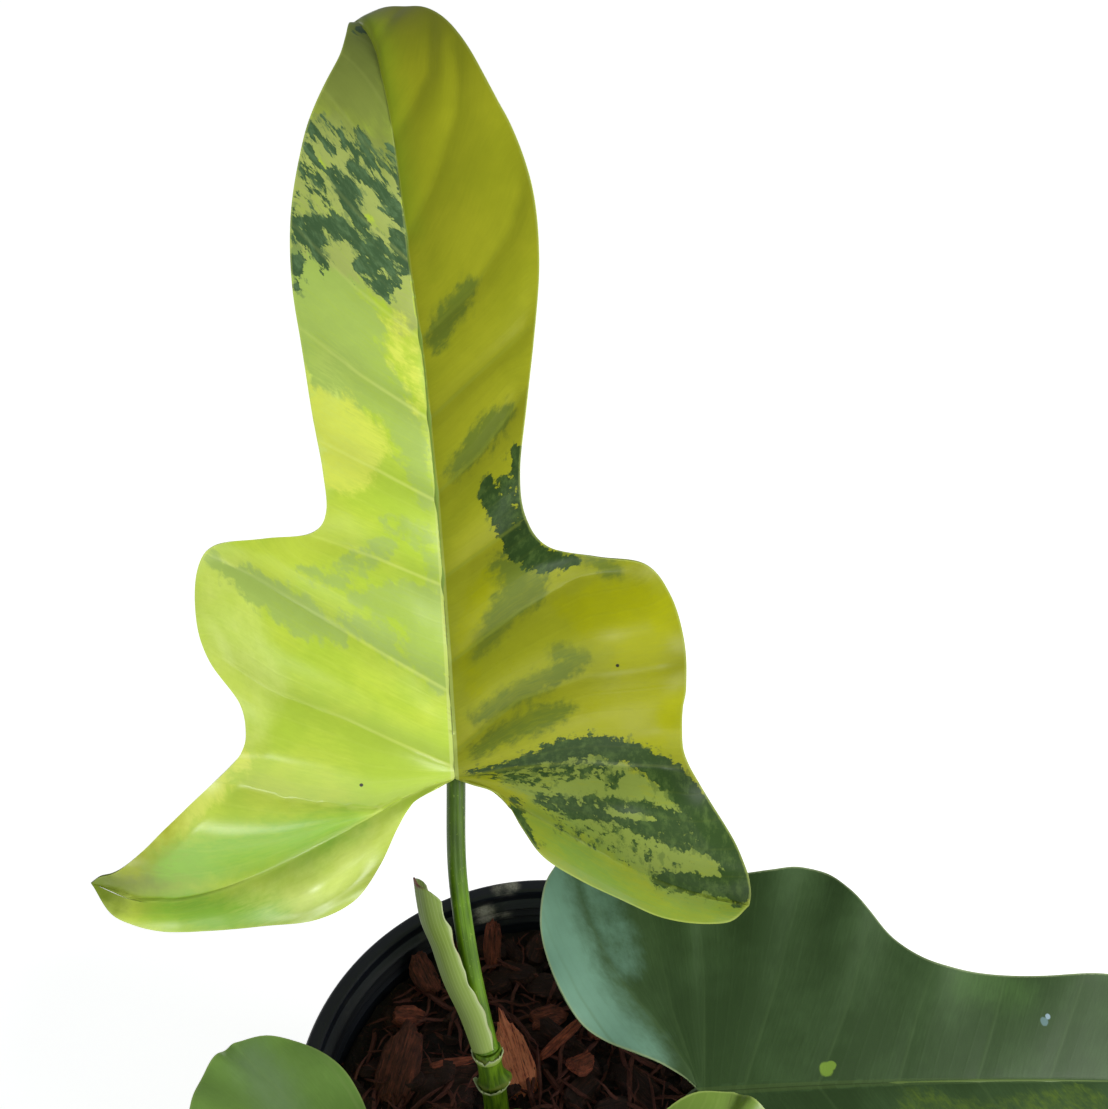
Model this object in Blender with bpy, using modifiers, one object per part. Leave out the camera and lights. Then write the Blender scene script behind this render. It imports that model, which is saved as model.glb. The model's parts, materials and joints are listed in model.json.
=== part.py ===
"""Fiddle leaf philodendron: four leaves on a short stem, in bark mix, in a nursery pot.

Metres, +Z up. The origin is the middle of the pot's flat underside.
"""
import math
import random

import bmesh
import bpy
import numpy as np
from mathutils import Euler, Vector, noise

MM = 0.001
GAP = 0.3 * MM               # clearance between pieces that touch

# Pot: a thin tapered wall with a rolled lip, a skirt below it and a flat floor
POT_HEIGHT = 134 * MM
RIM_RADIUS = 76 * MM
LIP_WIDTH = 5.5 * MM
LIP_DEPTH = 4.6 * MM
WALL = 1.4 * MM
FOOT_RADIUS = 56 * MM
FOOT_ROUNDING = 3.5 * MM
FLOOR = 2.2 * MM
SKIRT_DEPTH = 20 * MM        # the thicker band below the lip
SKIRT_STEP = 0.9 * MM
RIDGE_HEIGHT = 0.8 * MM      # stacking ridges inside the skirt
RIDGE_LEVELS = (127.5 * MM, 124 * MM, 120.5 * MM)
POT_STEPS = 48
DRAIN_RADIUS = 4.5 * MM
DRAIN_RING = 40 * MM
DRAIN_COUNT = 8

# Bark mix
BARK_LEVEL = 116 * MM
BARK_RINGS = (0, 13 * MM, 26 * MM, 39 * MM, 50 * MM, 60 * MM)
BARK_SEGMENTS = 28
BARK_BUMP = 1.6 * MM
CHIP_COUNT = 54
CHIP_SEED = 13
CHIP_LENGTH = (13 * MM, 25 * MM)
CHIP_WIDTH = (6 * MM, 11 * MM)
CHIP_THICKNESS = (3 * MM, 5 * MM)

# Stem
STEM_RADIUS = 3.9 * MM
STEM_PATH = (                # from its foot in the mix to its top
    Vector((-8.6, -31.5, 72)) * MM,
    Vector((-12.2, -16.7, 116)) * MM,
    Vector((-13.7, -9.3, 136)) * MM,
    Vector((-16.2, -2.2, 158)) * MM,
)
NODE_RINGS = ((0.64, 1.12), (0.78, 1.16), (0.9, 1.12))   # place along the stem, swelling

# Leaves
BLADE_THICKNESS = 0.8 * MM
MIDRIB_ROWS = 28            # rows of faces along the midrib, and along a lobe's big vein
LOBE_ROWS = 11
BLADE_COLUMNS = 4
TUBE_SIDES = 2               # bevel resolution of stem and stalks: 8 sides


# Half a blade is given by its ribs, which run from a root to the edge. The first list has
# its roots on the midrib, from the tip down: (root along, edge along, edge across). The
# second has them on the big vein of the basal lobe, from the stalk to the lobe's tip, with
# an edge above and one below: (root along, across, upper along, across, lower along,
# across). All are millimetres from the stalk on the flattened blade.
MAIN_LEFT = (
    ((224, 224, 0), (212, 219, 5), (198, 210, 10), (182, 199, 15), (165, 186, 21),
     (148, 171, 27), (131, 155, 31), (114, 138, 32), (97, 120, 31), (82, 103, 30),
     (70, 89, 28.5), (60, 78, 28.5), (53, 72.5, 33), (45, 72, 45), (36, 71, 58),
     (28, 64, 63.3), (19, 51, 64.5), (11, 40, 62), (5, 28, 55.5)),
    ((0, 0, 19, 54.5, -0.8, 2.4), (-1, 7, 14, 56, -5, 11.5), (-4, 15, 10, 59.5, -11, 16),
     (-8, 24, 5, 65, -20, 21), (-12, 33, -1, 72, -29, 28.5), (-17, 43, -7, 79, -33.5, 40),
     (-22, 54, -12, 84.5, -34.5, 54), (-26, 66, -16, 90, -35.5, 68),
     (-28, 78, -18, 94, -35, 82), (-27, 89, -19, 97.5, -30, 94),
     (-20.5, 100, -20.5, 100, -20.5, 100)),
)
MAIN_RIGHT = (
    ((224, 224, 0), (212, 218, 5), (198, 208, 9.5), (182, 197, 15), (165, 185, 21.5),
     (148, 171, 28.5), (131, 155, 32.5), (114, 138, 32.5), (97, 120, 29.5), (82, 102, 26),
     (70, 86, 23.2), (60, 74, 23.7), (53, 66, 29), (45, 63, 42), (36, 60.5, 54.5),
     (28, 52, 60.8), (19, 40, 63.8), (11, 28, 64), (5, 22, 63)),
    ((0, 0, 17, 62.6, -0.6, 2.6), (-0.6, 6, 11, 62.8, -2.8, 11), (-4, 13, 6, 64.3, -7, 15.2),
     (-8.5, 20, 1, 67, -12.5, 18.6), (-13, 28, -5, 70.5, -20, 24.5),
     (-18, 36, -11, 74, -27, 35.5), (-23, 44.5, -16.5, 77, -32, 46),
     (-27.5, 54, -21.5, 79, -36.5, 56), (-31, 63, -26, 80.4, -38.8, 66),
     (-33.5, 72, -30.5, 81, -38.5, 75), (-34.5, 80.6, -34.5, 80.6, -34.5, 80.6)),
)
OLDER_HALF = (
    ((212, 212, 0), (201, 207, 5), (188, 197, 10.5), (174, 185, 15.5), (158, 172, 20.5),
     (141, 157, 25.5), (124, 141, 28.7), (106, 123, 29.5), (90, 105, 28.5), (76, 89, 29),
     (65, 77, 30.3), (56, 69, 33), (48, 61, 39.5), (40, 55, 47), (32, 49.5, 54),
     (25, 44, 59.5), (18, 36, 61.5), (11, 27, 60.5), (5, 18, 60.5)),
    ((0, 0, 8, 62.5, -1.2, 1.8), (-2.2, 6, 3, 64, -5.5, 4.8), (-6.5, 13, -3, 66.5, -10.5, 7.5),
     (-11.8, 20, -9, 69, -17.5, 10), (-17.3, 27, -15, 70.8, -26, 13.5),
     (-22.5, 34, -21, 71.8, -34, 18.5), (-26, 41, -26, 71.8, -40, 26.5),
     (-29, 48, -30, 71, -43.5, 36), (-31.5, 55, -33.5, 69.8, -45.3, 47),
     (-34, 61.5, -36, 68.7, -43.5, 58), (-37.5, 67.5, -37.5, 67.5, -37.5, 67.5)),
)

# Each leaf: where the stalk meets the blade, the way the midrib sets off, the way the
# upper face looks, and how the blade bends. Angles are degrees.
LEAVES = {
    "main": dict(
        base=Vector((-24.2, 35.9, 234)) * MM, heading=Vector((-0.035, 0.454, 0.891)),
        facing=Vector((0, -0.891, 0.454)), halves=(MAIN_LEFT, MAIN_RIGHT), size=1.0,
        arch=8.5, curl=98, curl_from=0.786, sway=-3.5, sway_tip=-38, roll_tip=15.5,
        lobes_back=-10, fold=20, fold_tip=14.5, spread=3, lobe_fold=22, wave=0.5 * MM,
        stalk=(Vector((-16.2, -2.2, 157.8)) * MM, Vector((-18.6, 9.6, 181)) * MM,
               Vector((-21.6, 23.2, 208)) * MM),
        stalk_radius=2.7 * MM, midrib_end=0.72),
    "right": dict(
        base=Vector((44.5, -19, 164)) * MM, heading=Vector((1, 0.02, 0.10)),
        facing=Vector((0, -0.25, 0.97)), halves=(OLDER_HALF, OLDER_HALF), size=1.0,
        arch=34, curl=18, curl_from=0.75, sway=0, sway_tip=-8, roll_tip=0,
        lobes_back=15, fold=14, fold_tip=12, spread=2, lobe_fold=16, wave=1.2 * MM,
        stalk=(Vector((-13.3, -11.4, 131)) * MM, Vector((3, -19.5, 136.5)) * MM,
               Vector((19, -31.5, 147)) * MM, Vector((34, -25.5, 157)) * MM),
        stalk_radius=2.6 * MM, midrib_end=0.72),
    "left": dict(
        base=Vector((-44.5, -53.5, 154.5)) * MM, heading=Vector((-0.30, -0.95, 0.14)),
        facing=Vector((0.12, -0.05, 0.99)), halves=(OLDER_HALF, OLDER_HALF), size=0.86,
        arch=42, curl=22, curl_from=0.75, sway=10, sway_tip=12, roll_tip=0,
        lobes_back=8, fold=13, fold_tip=12, spread=1, lobe_fold=14, wave=1.4 * MM,
        stalk=(Vector((-13.0, -13.0, 127.4)) * MM, Vector((-26, -22, 139)) * MM,
               Vector((-36, -36, 148)) * MM, Vector((-42, -47.5, 151.5)) * MM),
        stalk_radius=2.5 * MM, midrib_end=0.72),
    "front": dict(
        base=Vector((21.8, -100, 193)) * MM, heading=Vector((0.60, -0.80, 0.06)),
        facing=Vector((0.02, -0.14, 0.98)), halves=(OLDER_HALF, OLDER_HALF), size=0.86,
        arch=46, curl=24, curl_from=0.75, sway=-5, sway_tip=-10, roll_tip=0,
        lobes_back=4, fold=14, fold_tip=12, spread=1, lobe_fold=14, wave=1.4 * MM,
        stalk=(Vector((-12.0, -17.6, 119.6)) * MM, Vector((-11.5, -23.4, 134)) * MM,
               Vector((-9.6, -25.0, 157)) * MM, Vector((-3, -36.5, 178)) * MM,
               Vector((10, -72, 193.5)) * MM),
        stalk_radius=2.5 * MM, midrib_end=0.72),
}
FOLD_REACH = 25 * MM         # how far from the midrib the valley fold flattens out
LOBE_FOLD_REACH = 30 * MM
WAVE_COUNT = 9
WAVE_FADE = 15 * MM          # ribs shorter than this have lower waves

# Sheath: a folded bract that clasps the foot of the main stalk and parts from it above
SHEATH_PATH = (
    Vector((-16.4, -1.7, 159.2)) * MM, Vector((-17.6, 3.6, 170)) * MM,
    Vector((-20.0, 8.3, 181)) * MM, Vector((-23.9, 12.3, 191.5)) * MM,
    Vector((-28.3, 15.6, 201)) * MM, Vector((-33.6, 19.2, 211.5)) * MM,
)
SHEATH_RADII = (4.0 * MM, 4.3 * MM, 4.5 * MM, 4.4 * MM, 3.4 * MM, 0.7 * MM)
SHEATH_ARC = 200             # degrees of the ring that the sheath covers at its foot
SHEATH_OPENS_TO = Vector((0.85, 0.50, 0))
SHEATH_ROWS = 15
SHEATH_COLUMNS = 9
SHEATH_THICKNESS = 0.8 * MM

COLOURS = {
    "pot": ((0.012, 0.014, 0.016), 0.42),
    "bark": ((0.055, 0.026, 0.016), 0.85),
    "stem": ((0.075, 0.150, 0.012), 0.45),
    "sheath": ((0.230, 0.330, 0.090), 0.50),
    "main": ((0.450, 0.600, 0.080), 0.38),
    "right": ((0.040, 0.100, 0.030), 0.38),
    "left": ((0.100, 0.230, 0.050), 0.38),
    "front": ((0.190, 0.380, 0.060), 0.38),
}


def material(name):
    """A Principled material with the piece's colour and roughness."""
    colour, roughness = COLOURS[name]
    made = bpy.data.materials.new(name)
    made.use_nodes = True
    shader = made.node_tree.nodes["Principled BSDF"]
    shader.inputs["Base Color"].default_value = (*colour, 1)
    shader.inputs["Roughness"].default_value = roughness
    shader.inputs["Metallic"].default_value = 0
    return made


def collection(name):
    made = bpy.data.collections.new(name)
    bpy.context.scene.collection.children.link(made)
    return made


def add_mesh(name, bm, group, mat=None):
    """Turn a bmesh into an object in the given collection."""
    mesh = bpy.data.meshes.new(name)
    bm.to_mesh(mesh)
    bm.free()
    obj = bpy.data.objects.new(name, mesh)
    group.objects.link(obj)
    if mat:
        mesh.materials.append(mat)
    return obj


def add_tube(name, points, radii, group, mat=None):
    """A round tube through points, made a mesh with its end caps welded."""
    curve = bpy.data.curves.new(name + "_line", "CURVE")
    curve.dimensions = "3D"
    curve.bevel_depth = 1.0
    curve.bevel_resolution = TUBE_SIDES
    curve.use_fill_caps = True
    spline = curve.splines.new("POLY")
    spline.points.add(len(points) - 1)
    for point, place, radius in zip(spline.points, points, radii):
        point.co = (*place, 1)
        point.radius = radius
    line = bpy.data.objects.new(name + "_line", curve)
    group.objects.link(line)
    mesh = bpy.data.meshes.new_from_object(line.evaluated_get(bpy.context.evaluated_depsgraph_get()))
    bpy.data.objects.remove(line)
    bm = bmesh.new()
    bm.from_mesh(mesh)
    bpy.data.meshes.remove(mesh)
    bmesh.ops.remove_doubles(bm, verts=bm.verts, dist=0.01 * MM)
    bmesh.ops.recalc_face_normals(bm, faces=bm.faces)
    obj = add_mesh(name, bm, group, mat)
    obj.data.shade_smooth()
    obj.data.set_sharp_from_angle(angle=math.radians(50))
    return obj


def as_cutter(obj):
    obj.hide_render = True
    obj.display_type = "WIRE"
    return obj


def apply_modifiers(obj):
    """Replace the object's mesh by its evaluated one and drop the modifiers."""
    mesh = bpy.data.meshes.new_from_object(obj.evaluated_get(bpy.context.evaluated_depsgraph_get()))
    obj.modifiers.clear()
    obj.data = mesh


def cut(obj, cutter):
    """Take the cutter's shape out of the object."""
    boolean = obj.modifiers.new("cut_" + cutter.name, "BOOLEAN")
    boolean.operation = "DIFFERENCE"
    boolean.object = cutter
    apply_modifiers(obj)


def smooth_points(control, places):
    """Points on a Catmull-Rom curve through the control rows, at places counted in rows."""
    rows = np.array([list(row) for row in control], float)
    padded = np.vstack([2 * rows[0] - rows[1], rows, 2 * rows[-1] - rows[-2]])
    first = np.clip(places.astype(int), 0, len(rows) - 2)
    t = (places - first)[:, None]
    p0, p1, p2, p3 = (padded[first + k] for k in range(4))
    return 0.5 * (2 * p1 + (p2 - p0) * t + (2 * p0 - 5 * p1 + 4 * p2 - p3) * t**2
                  + (3 * p1 - p0 - 3 * p2 + p3) * t**3)


def smooth_path(control, count):
    """A number of points at even steps of the curve through the control rows."""
    return smooth_points(control, np.linspace(0, len(control) - 1, count))


def outer_wall(height):
    """Radius of the pot's plain outer wall at a height."""
    top = RIM_RADIUS - LIP_WIDTH + WALL - SKIRT_STEP
    return FOOT_RADIUS + (top - FOOT_RADIUS) * height / POT_HEIGHT


def inner_wall(height):
    return outer_wall(height) - WALL


def pot_profile():
    """Half section of the pot: down the outside, across the floor, up the inside."""
    lip_foot = POT_HEIGHT - LIP_DEPTH
    skirt_foot = POT_HEIGHT - SKIRT_DEPTH
    inside_lip = RIM_RADIUS - LIP_WIDTH
    points = [
        (inside_lip + 1.2 * MM, POT_HEIGHT),
        (RIM_RADIUS - 1.6 * MM, POT_HEIGHT),
        (RIM_RADIUS - 0.4 * MM, POT_HEIGHT - 0.5 * MM),
        (RIM_RADIUS, POT_HEIGHT - 1.7 * MM),
        (RIM_RADIUS, lip_foot + 0.6 * MM),
        (RIM_RADIUS - 0.6 * MM, lip_foot),
        (outer_wall(lip_foot) + SKIRT_STEP, lip_foot),
        (outer_wall(skirt_foot) + SKIRT_STEP, skirt_foot),
        (outer_wall(skirt_foot - 1.5 * MM), skirt_foot - 1.5 * MM),
    ]
    for k in range(4):
        turn = math.radians(30 * k)
        points.append((outer_wall(FOOT_ROUNDING) - FOOT_ROUNDING * (1 - math.cos(turn)),
                       FOOT_ROUNDING * (1 - math.sin(turn))))
    points += [(0, 0), (0, FLOOR), (inner_wall(FLOOR) - 2.5 * MM, FLOOR),
               (inner_wall(FLOOR + 2.5 * MM), FLOOR + 2.5 * MM)]
    for level in reversed(RIDGE_LEVELS):
        points += [(inner_wall(level - 1.2 * MM), level - 1.2 * MM),
                   (inner_wall(level) - RIDGE_HEIGHT, level - 0.3 * MM),
                   (inner_wall(level) - RIDGE_HEIGHT, level + 0.3 * MM)]
    points += [(inner_wall(lip_foot), lip_foot - 0.4 * MM), (inside_lip, lip_foot + 0.4 * MM),
               (inside_lip, POT_HEIGHT - 1.3 * MM), (inside_lip + 0.35 * MM, POT_HEIGHT - 0.4 * MM)]
    return points


def make_pot(group, cutters):
    bm = bmesh.new()
    verts = [bm.verts.new((radius, 0, height)) for radius, height in pot_profile()]
    for one, other in zip(verts, verts[1:] + verts[:1]):
        if max(one.co.x, other.co.x) > 0:
            bm.edges.new((one, other))
    pot = add_mesh("pot", bm, group, material("pot"))
    screw = pot.modifiers.new("turn", "SCREW")
    screw.steps = POT_STEPS
    screw.render_steps = POT_STEPS
    screw.use_merge_vertices = True
    screw.merge_threshold = 0.01 * MM
    screw.use_smooth_shade = True
    apply_modifiers(pot)
    pot.data.set_sharp_from_angle(angle=math.radians(40))
    for k in range(DRAIN_COUNT):
        turn = 2 * math.pi * (k + 0.4) / DRAIN_COUNT
        bpy.ops.mesh.primitive_cylinder_add(
            vertices=10, radius=DRAIN_RADIUS, depth=4 * FLOOR,
            location=(DRAIN_RING * math.cos(turn), DRAIN_RING * math.sin(turn), FLOOR / 2))
        drain = as_cutter(bpy.context.object)
        drain.name = "drain_%d" % k
        bpy.context.collection.objects.unlink(drain)
        cutters.objects.link(drain)
        bpy.context.view_layer.update()
        cut(pot, drain)
    return pot


def bark_height(x, y):
    """Top of the bark bed, gently uneven."""
    return BARK_LEVEL + BARK_BUMP * noise.noise(Vector((x, y, 0)) * 60)


def make_bed(group):
    """The body of the mix: it fills the pot, clear of the wall by the gap."""
    bm = bmesh.new()
    rings = []
    turns = [2 * math.pi * k / BARK_SEGMENTS for k in range(BARK_SEGMENTS)]
    edge = inner_wall(BARK_LEVEL) * math.cos(math.pi / POT_STEPS) - GAP
    for radius in BARK_RINGS[1:]:
        rings.append([bm.verts.new((radius * math.cos(t), radius * math.sin(t),
                                    bark_height(radius * math.cos(t), radius * math.sin(t))))
                      for t in turns])
    low = FLOOR + GAP
    corner = low + 3 * MM
    foot = inner_wall(low) * math.cos(math.pi / POT_STEPS) - GAP
    for radius, height in ((edge, BARK_LEVEL - 1 * MM), (foot + 0.1 * MM, corner),
                           (foot - 3 * MM, low)):
        rings.append([bm.verts.new((radius * math.cos(t), radius * math.sin(t), height))
                      for t in turns])
    top = bm.verts.new((0, 0, bark_height(0, 0)))
    bottom = bm.verts.new((0, 0, low))
    for k in range(BARK_SEGMENTS):
        after = (k + 1) % BARK_SEGMENTS
        bm.faces.new((top, rings[0][k], rings[0][after]))
        for inner, outer in zip(rings, rings[1:]):
            bm.faces.new((inner[k], outer[k], outer[after], inner[after]))
        bm.faces.new((bottom, rings[-1][after], rings[-1][k]))
    bmesh.ops.recalc_face_normals(bm, faces=bm.faces)
    return add_mesh("bark_mix", bm, group, material("bark"))


def add_chip(rng, size, place, turn, group):
    """One broken piece of bark: a box with its corners knocked about."""
    bm = bmesh.new()
    bmesh.ops.create_cube(bm, size=1)
    for vert in bm.verts:
        taper = 1 - 0.35 * (vert.co.x + 0.5) * rng.random()
        vert.co.x *= size[0] * rng.uniform(0.86, 1.1)
        vert.co.y *= size[1] * taper * rng.uniform(0.75, 1.1)
        vert.co.z *= size[2] * taper * rng.uniform(0.7, 1.15)
    bmesh.ops.triangulate(bm, faces=bm.faces)
    bmesh.ops.rotate(bm, cent=(0, 0, 0), matrix=Euler(turn).to_matrix(), verts=bm.verts)
    bmesh.ops.translate(bm, vec=place, verts=bm.verts)
    return add_mesh("chip", bm, group)


def place_chips(group, keep_clear):
    """Chips lie about the bed, their roots sunk in, clear of the stem and the stalks."""
    rng = random.Random(CHIP_SEED)
    # The tall chip that stands behind the stem
    add_chip(rng, (33 * MM, 10 * MM, 4.5 * MM), Vector((-6.0, 13.5, 125)) * MM,
             (math.radians(-6), math.radians(-63), math.radians(98)), group)
    placed = []
    while len(placed) < CHIP_COUNT:
        size = (rng.uniform(*CHIP_LENGTH), rng.uniform(*CHIP_WIDTH), rng.uniform(*CHIP_THICKNESS))
        limit = inner_wall(BARK_LEVEL) - 1.5 * MM - 0.62 * size[0]
        radius = limit * math.sqrt(rng.random())
        angle = rng.uniform(0, 2 * math.pi)
        place = Vector((radius * math.cos(angle), radius * math.sin(angle), 0))
        turn = (math.radians(rng.gauss(0, 24)), math.radians(rng.gauss(0, 17)),
                rng.uniform(0, math.pi))
        lift = rng.uniform(-0.1, 0.35) * size[2]
        reach = 0.62 * size[0] + 4.5 * MM
        if any((place - spot.xy.to_3d()).length < reach for spot in keep_clear):
            continue
        if any((place - other).length < 4.5 * MM for other in placed):
            continue
        placed.append(place)
        place = place + Vector((0, 0, bark_height(place.x, place.y) + lift))
        add_chip(rng, size, place, turn, group)


def keep_largest_body(obj):
    """Drop loose scraps, and the inner skins of hollows that the union sealed."""
    bm = bmesh.new()
    bm.from_mesh(obj.data)
    left = set(bm.verts)
    bodies = []
    while left:
        front = [left.pop()]
        body = set(front)
        while front:
            for edge in front.pop().link_edges:
                for vert in edge.verts:
                    if vert in left:
                        left.discard(vert)
                        body.add(vert)
                        front.append(vert)
        bodies.append(body)
    bodies.sort(key=len)
    bmesh.ops.delete(bm, geom=[vert for body in bodies[:-1] for vert in body], context="VERTS")
    bm.to_mesh(obj.data)
    bm.free()


def make_bark(group, cutters, keep_clear):
    bed = make_bed(group)
    chips = collection("chips")
    place_chips(chips, keep_clear)
    bpy.context.view_layer.update()
    union = bed.modifiers.new("fuse_chips", "BOOLEAN")
    union.operation = "UNION"
    union.operand_type = "COLLECTION"
    union.collection = chips
    union.use_self = True
    apply_modifiers(bed)
    for chip in list(chips.objects):
        bpy.data.objects.remove(chip)
    bpy.data.collections.remove(chips)
    hole = as_cutter(add_tube("stem_hole", *stem_line(GAP, ringed=False), cutters))
    bpy.context.view_layer.update()
    cut(bed, hole)
    keep_largest_body(bed)
    return bed


def stem_line(extra=0.0, ringed=True):
    """Points and radii along the stem, made bigger all round by the extra."""
    points = [Vector(row) for row in smooth_path(STEM_PATH, 15)]
    radii = []
    for k in range(len(points)):
        place = k / (len(points) - 1)
        swellings = [size for ring, size in NODE_RINGS if ringed and abs(place - ring) < 0.037]
        radii.append(STEM_RADIUS * max([1.0] + swellings) + extra)
    points[0] -= (points[1] - points[0]).normalized() * extra
    points[-1] += (points[-1] - points[-2]).normalized() * extra
    return points, radii


class Leaf:
    """The form of one leaf: maps flat places on the blade to points in space.

    along runs up the midrib from the stalk, across to the right of it, seen from above.
    """

    TABLE = 500
    LOW, HIGH = -0.06, 0.24

    def __init__(self, spec):
        self.spec = spec
        self.length = spec["halves"][0][0][0][0] * MM * spec["size"]
        self.lobe_veins = [np.array(half[1])[:, :2] * MM * spec["size"] for half in spec["halves"]]
        self.ahead = spec["heading"].normalized()
        facing = spec["facing"]
        self.up = (facing - self.ahead * facing.dot(self.ahead)).normalized()
        self.side = self.ahead.cross(self.up)
        self.table = np.linspace(self.LOW, self.HIGH, self.TABLE)
        ahead = self.directions(self.table)[0]
        step = self.table[1] - self.table[0]
        line = np.vstack([np.zeros(3), np.cumsum((ahead[1:] + ahead[:-1]) / 2 * step, axis=0)])
        zero = np.array([np.interp(0, self.table, line[:, k]) for k in range(3)])
        self.line = line - zero + np.array(spec["base"])

    def directions(self, along):
        """Unit vectors ahead, sideways and up off the blade at places along the midrib."""
        spec = self.spec
        ratio = np.clip(along / self.length, 0, None)
        start = spec["curl_from"]
        tip = np.clip((ratio - start) / (1 - start), 0, None) ** 1.5
        pitch = np.radians(spec["arch"] * ratio + spec["curl"] * tip
                           + spec["lobes_back"] * np.clip(-along, 0, None) / (40 * MM))[:, None]
        yaw = np.radians(spec["sway"] * ratio + spec["sway_tip"] * tip)[:, None]
        roll = np.radians(spec["roll_tip"] * np.clip(ratio, 0, 1) ** 2)[:, None]
        d, s, n = (np.array(v) for v in (self.ahead, self.side, self.up))
        level = np.cos(pitch) * d - np.sin(pitch) * n
        up = np.cos(pitch) * n + np.sin(pitch) * d
        ahead = np.cos(yaw) * level + np.sin(yaw) * s
        side = np.cos(yaw) * s - np.sin(yaw) * level
        return ahead, np.cos(roll) * side + np.sin(roll) * up, np.cos(roll) * up - np.sin(roll) * side

    def rise(self, along, across, right):
        """Height of the surface over the midrib plane: valleys at midrib and lobe vein."""
        spec = self.spec
        ratio = np.clip(along / self.length, 0, 1)
        fold = np.tan(np.radians(spec["fold"] + (spec["fold_tip"] - spec["fold"]) * ratio**2))
        rise = FOLD_REACH * fold * (1 - np.exp(-across / FOLD_REACH))
        rise += math.tan(math.radians(spec["spread"])) * across
        past = distance_below(along, across, self.lobe_veins[right])
        lobe_fold = math.tan(math.radians(spec["lobe_fold"]))
        return rise + LOBE_FOLD_REACH * lobe_fold * (1 - np.exp(-past / LOBE_FOLD_REACH))

    def points(self, along, across, right, wave=0.0):
        """Points in space for flat places on one half of the blade."""
        _, side, up = self.directions(along)
        centre = np.stack([np.interp(along, self.table, self.line[:, k]) for k in range(3)], 1)
        reach = across * math.cos(math.radians(self.spec["spread"])) * (1 if right else -1)
        lift = self.rise(along, across, right) + wave
        return centre + side * reach[:, None] + up * lift[:, None]

    def ribbed(self, right, roots, edges, columns, turns):
        """Grid of points from the roots to the edges, with the edge gently waved."""
        wave_height = self.spec["wave"] * np.minimum(1, np.hypot(*(edges - roots).T) / WAVE_FADE)
        grid = []
        for t in np.linspace(0, 1, columns + 1):
            along, across = (roots + (edges - roots) * t).T
            wave = wave_height * t**2 * np.sin(turns)
            grid.append(self.points(along, np.abs(across), right, wave))
        return np.array(grid)

    def half(self, right, midrib_rows, lobe_rows, columns):
        """Grids of one half: above the lobe's big vein, from the tip, and below it."""
        scale = MM * self.spec["size"]
        midrib, lobe = (np.array(ribs, float) * scale for ribs in self.spec["halves"][right])
        ribs = np.vstack([np.insert(midrib, 1, 0, axis=1), lobe[:, :4]])
        turn = len(midrib)
        stations = np.linspace(0, len(lobe) - 1, lobe_rows + 1)
        places = np.concatenate([np.linspace(0, turn, midrib_rows + 1)[:-1], turn + stations])
        upper = smooth_points(ribs, places)
        upper[:midrib_rows, 1] = 0
        lower = smooth_points(lobe[:, 4:], stations)
        turns = 2 * math.pi * WAVE_COUNT * places / places[-1] + (1.5 if right else 0)
        back = 2 * turns[-1] - turns[-len(stations):]
        return (self.ribbed(right, upper[:, :2], upper[:, 2:], columns, turns),
                self.ribbed(right, upper[-len(stations):, :2], lower, columns, back))


def distance_below(along, across, line):
    """Distance past a vein, on the side that faces the stalk; zero on its other side."""
    best = np.full(along.shape, 1e9)
    beyond = np.zeros(along.shape)
    for (a0, c0), (a1, c1) in zip(line, line[1:]):
        da, dc = a1 - a0, c1 - c0
        t = np.clip(((along - a0) * da + (across - c0) * dc) / (da * da + dc * dc), 0, 1)
        gap = np.hypot(along - a0 - t * da, across - c0 - t * dc)
        beyond = np.where(gap < best, (along - a0) * dc - (across - c0) * da, beyond)
        best = np.minimum(best, gap)
    return np.where(beyond < 0, best, 0)


def make_blade(name, leaf, group):
    """The blade: two gridded halves joined at the midrib, then given its thickness."""
    bm = bmesh.new()
    for right in (False, True):
        for below, grid in enumerate(leaf.half(right, MIDRIB_ROWS, LOBE_ROWS, BLADE_COLUMNS)):
            verts = [[bm.verts.new(point) for point in column] for column in grid]
            for inner, outer in zip(verts, verts[1:]):
                for k in range(len(inner) - 1):
                    quad = (inner[k], inner[k + 1], outer[k + 1], outer[k])
                    bm.faces.new(quad if right != below else quad[::-1])
    bmesh.ops.remove_doubles(bm, verts=bm.verts, dist=0.02 * MM)
    bmesh.ops.dissolve_degenerate(bm, edges=bm.edges, dist=0.02 * MM)
    bmesh.ops.triangulate(bm, faces=bm.faces)
    bmesh.ops.recalc_face_normals(bm, faces=bm.faces)
    blade = add_mesh("blade_" + name, bm, group, material(name))
    blade.data.shade_smooth()
    wall = blade.modifiers.new("thickness", "SOLIDIFY")
    wall.thickness = BLADE_THICKNESS
    wall.offset = 0
    return blade


def stalk_line(leaf):
    """Points and radii of a stalk: up from the stem, then under the blade as its midrib."""
    spec = leaf.spec
    full = spec["stalk_radius"]
    under = np.linspace(0.0, spec["midrib_end"] * leaf.length, 15)
    taper = full * (0.86 - 0.62 * under / under[-1])
    taper[0] = full * 0.95
    _, _, up = leaf.directions(under)
    centre = np.stack([np.interp(under, leaf.table, leaf.line[:, k]) for k in range(3)], 1)
    depth = taper * 1.06 + GAP + BLADE_THICKNESS / 2 + 0.2 * MM
    ridge = centre - up * depth[:, None]
    path = smooth_path([np.array(p) for p in spec["stalk"]] + [ridge[0]], 14)
    points = [Vector(p) for p in np.vstack([path[:-1], ridge])]
    radii = [full * (1.25 - 0.25 * min(1, k / 5)) for k in range(len(path) - 1)] + list(taper)
    return points, radii


def make_stalk(name, leaf, group, cutter):
    """A stalk with its foot shaped to the stem."""
    stalk = add_tube("petiole_" + name, *stalk_line(leaf), group, material("stem"))
    stalk.data.materials[0].name = "petiole_" + name
    bpy.context.view_layer.update()
    cut(stalk, cutter)
    keep_largest_body(stalk)
    return stalk


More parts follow.
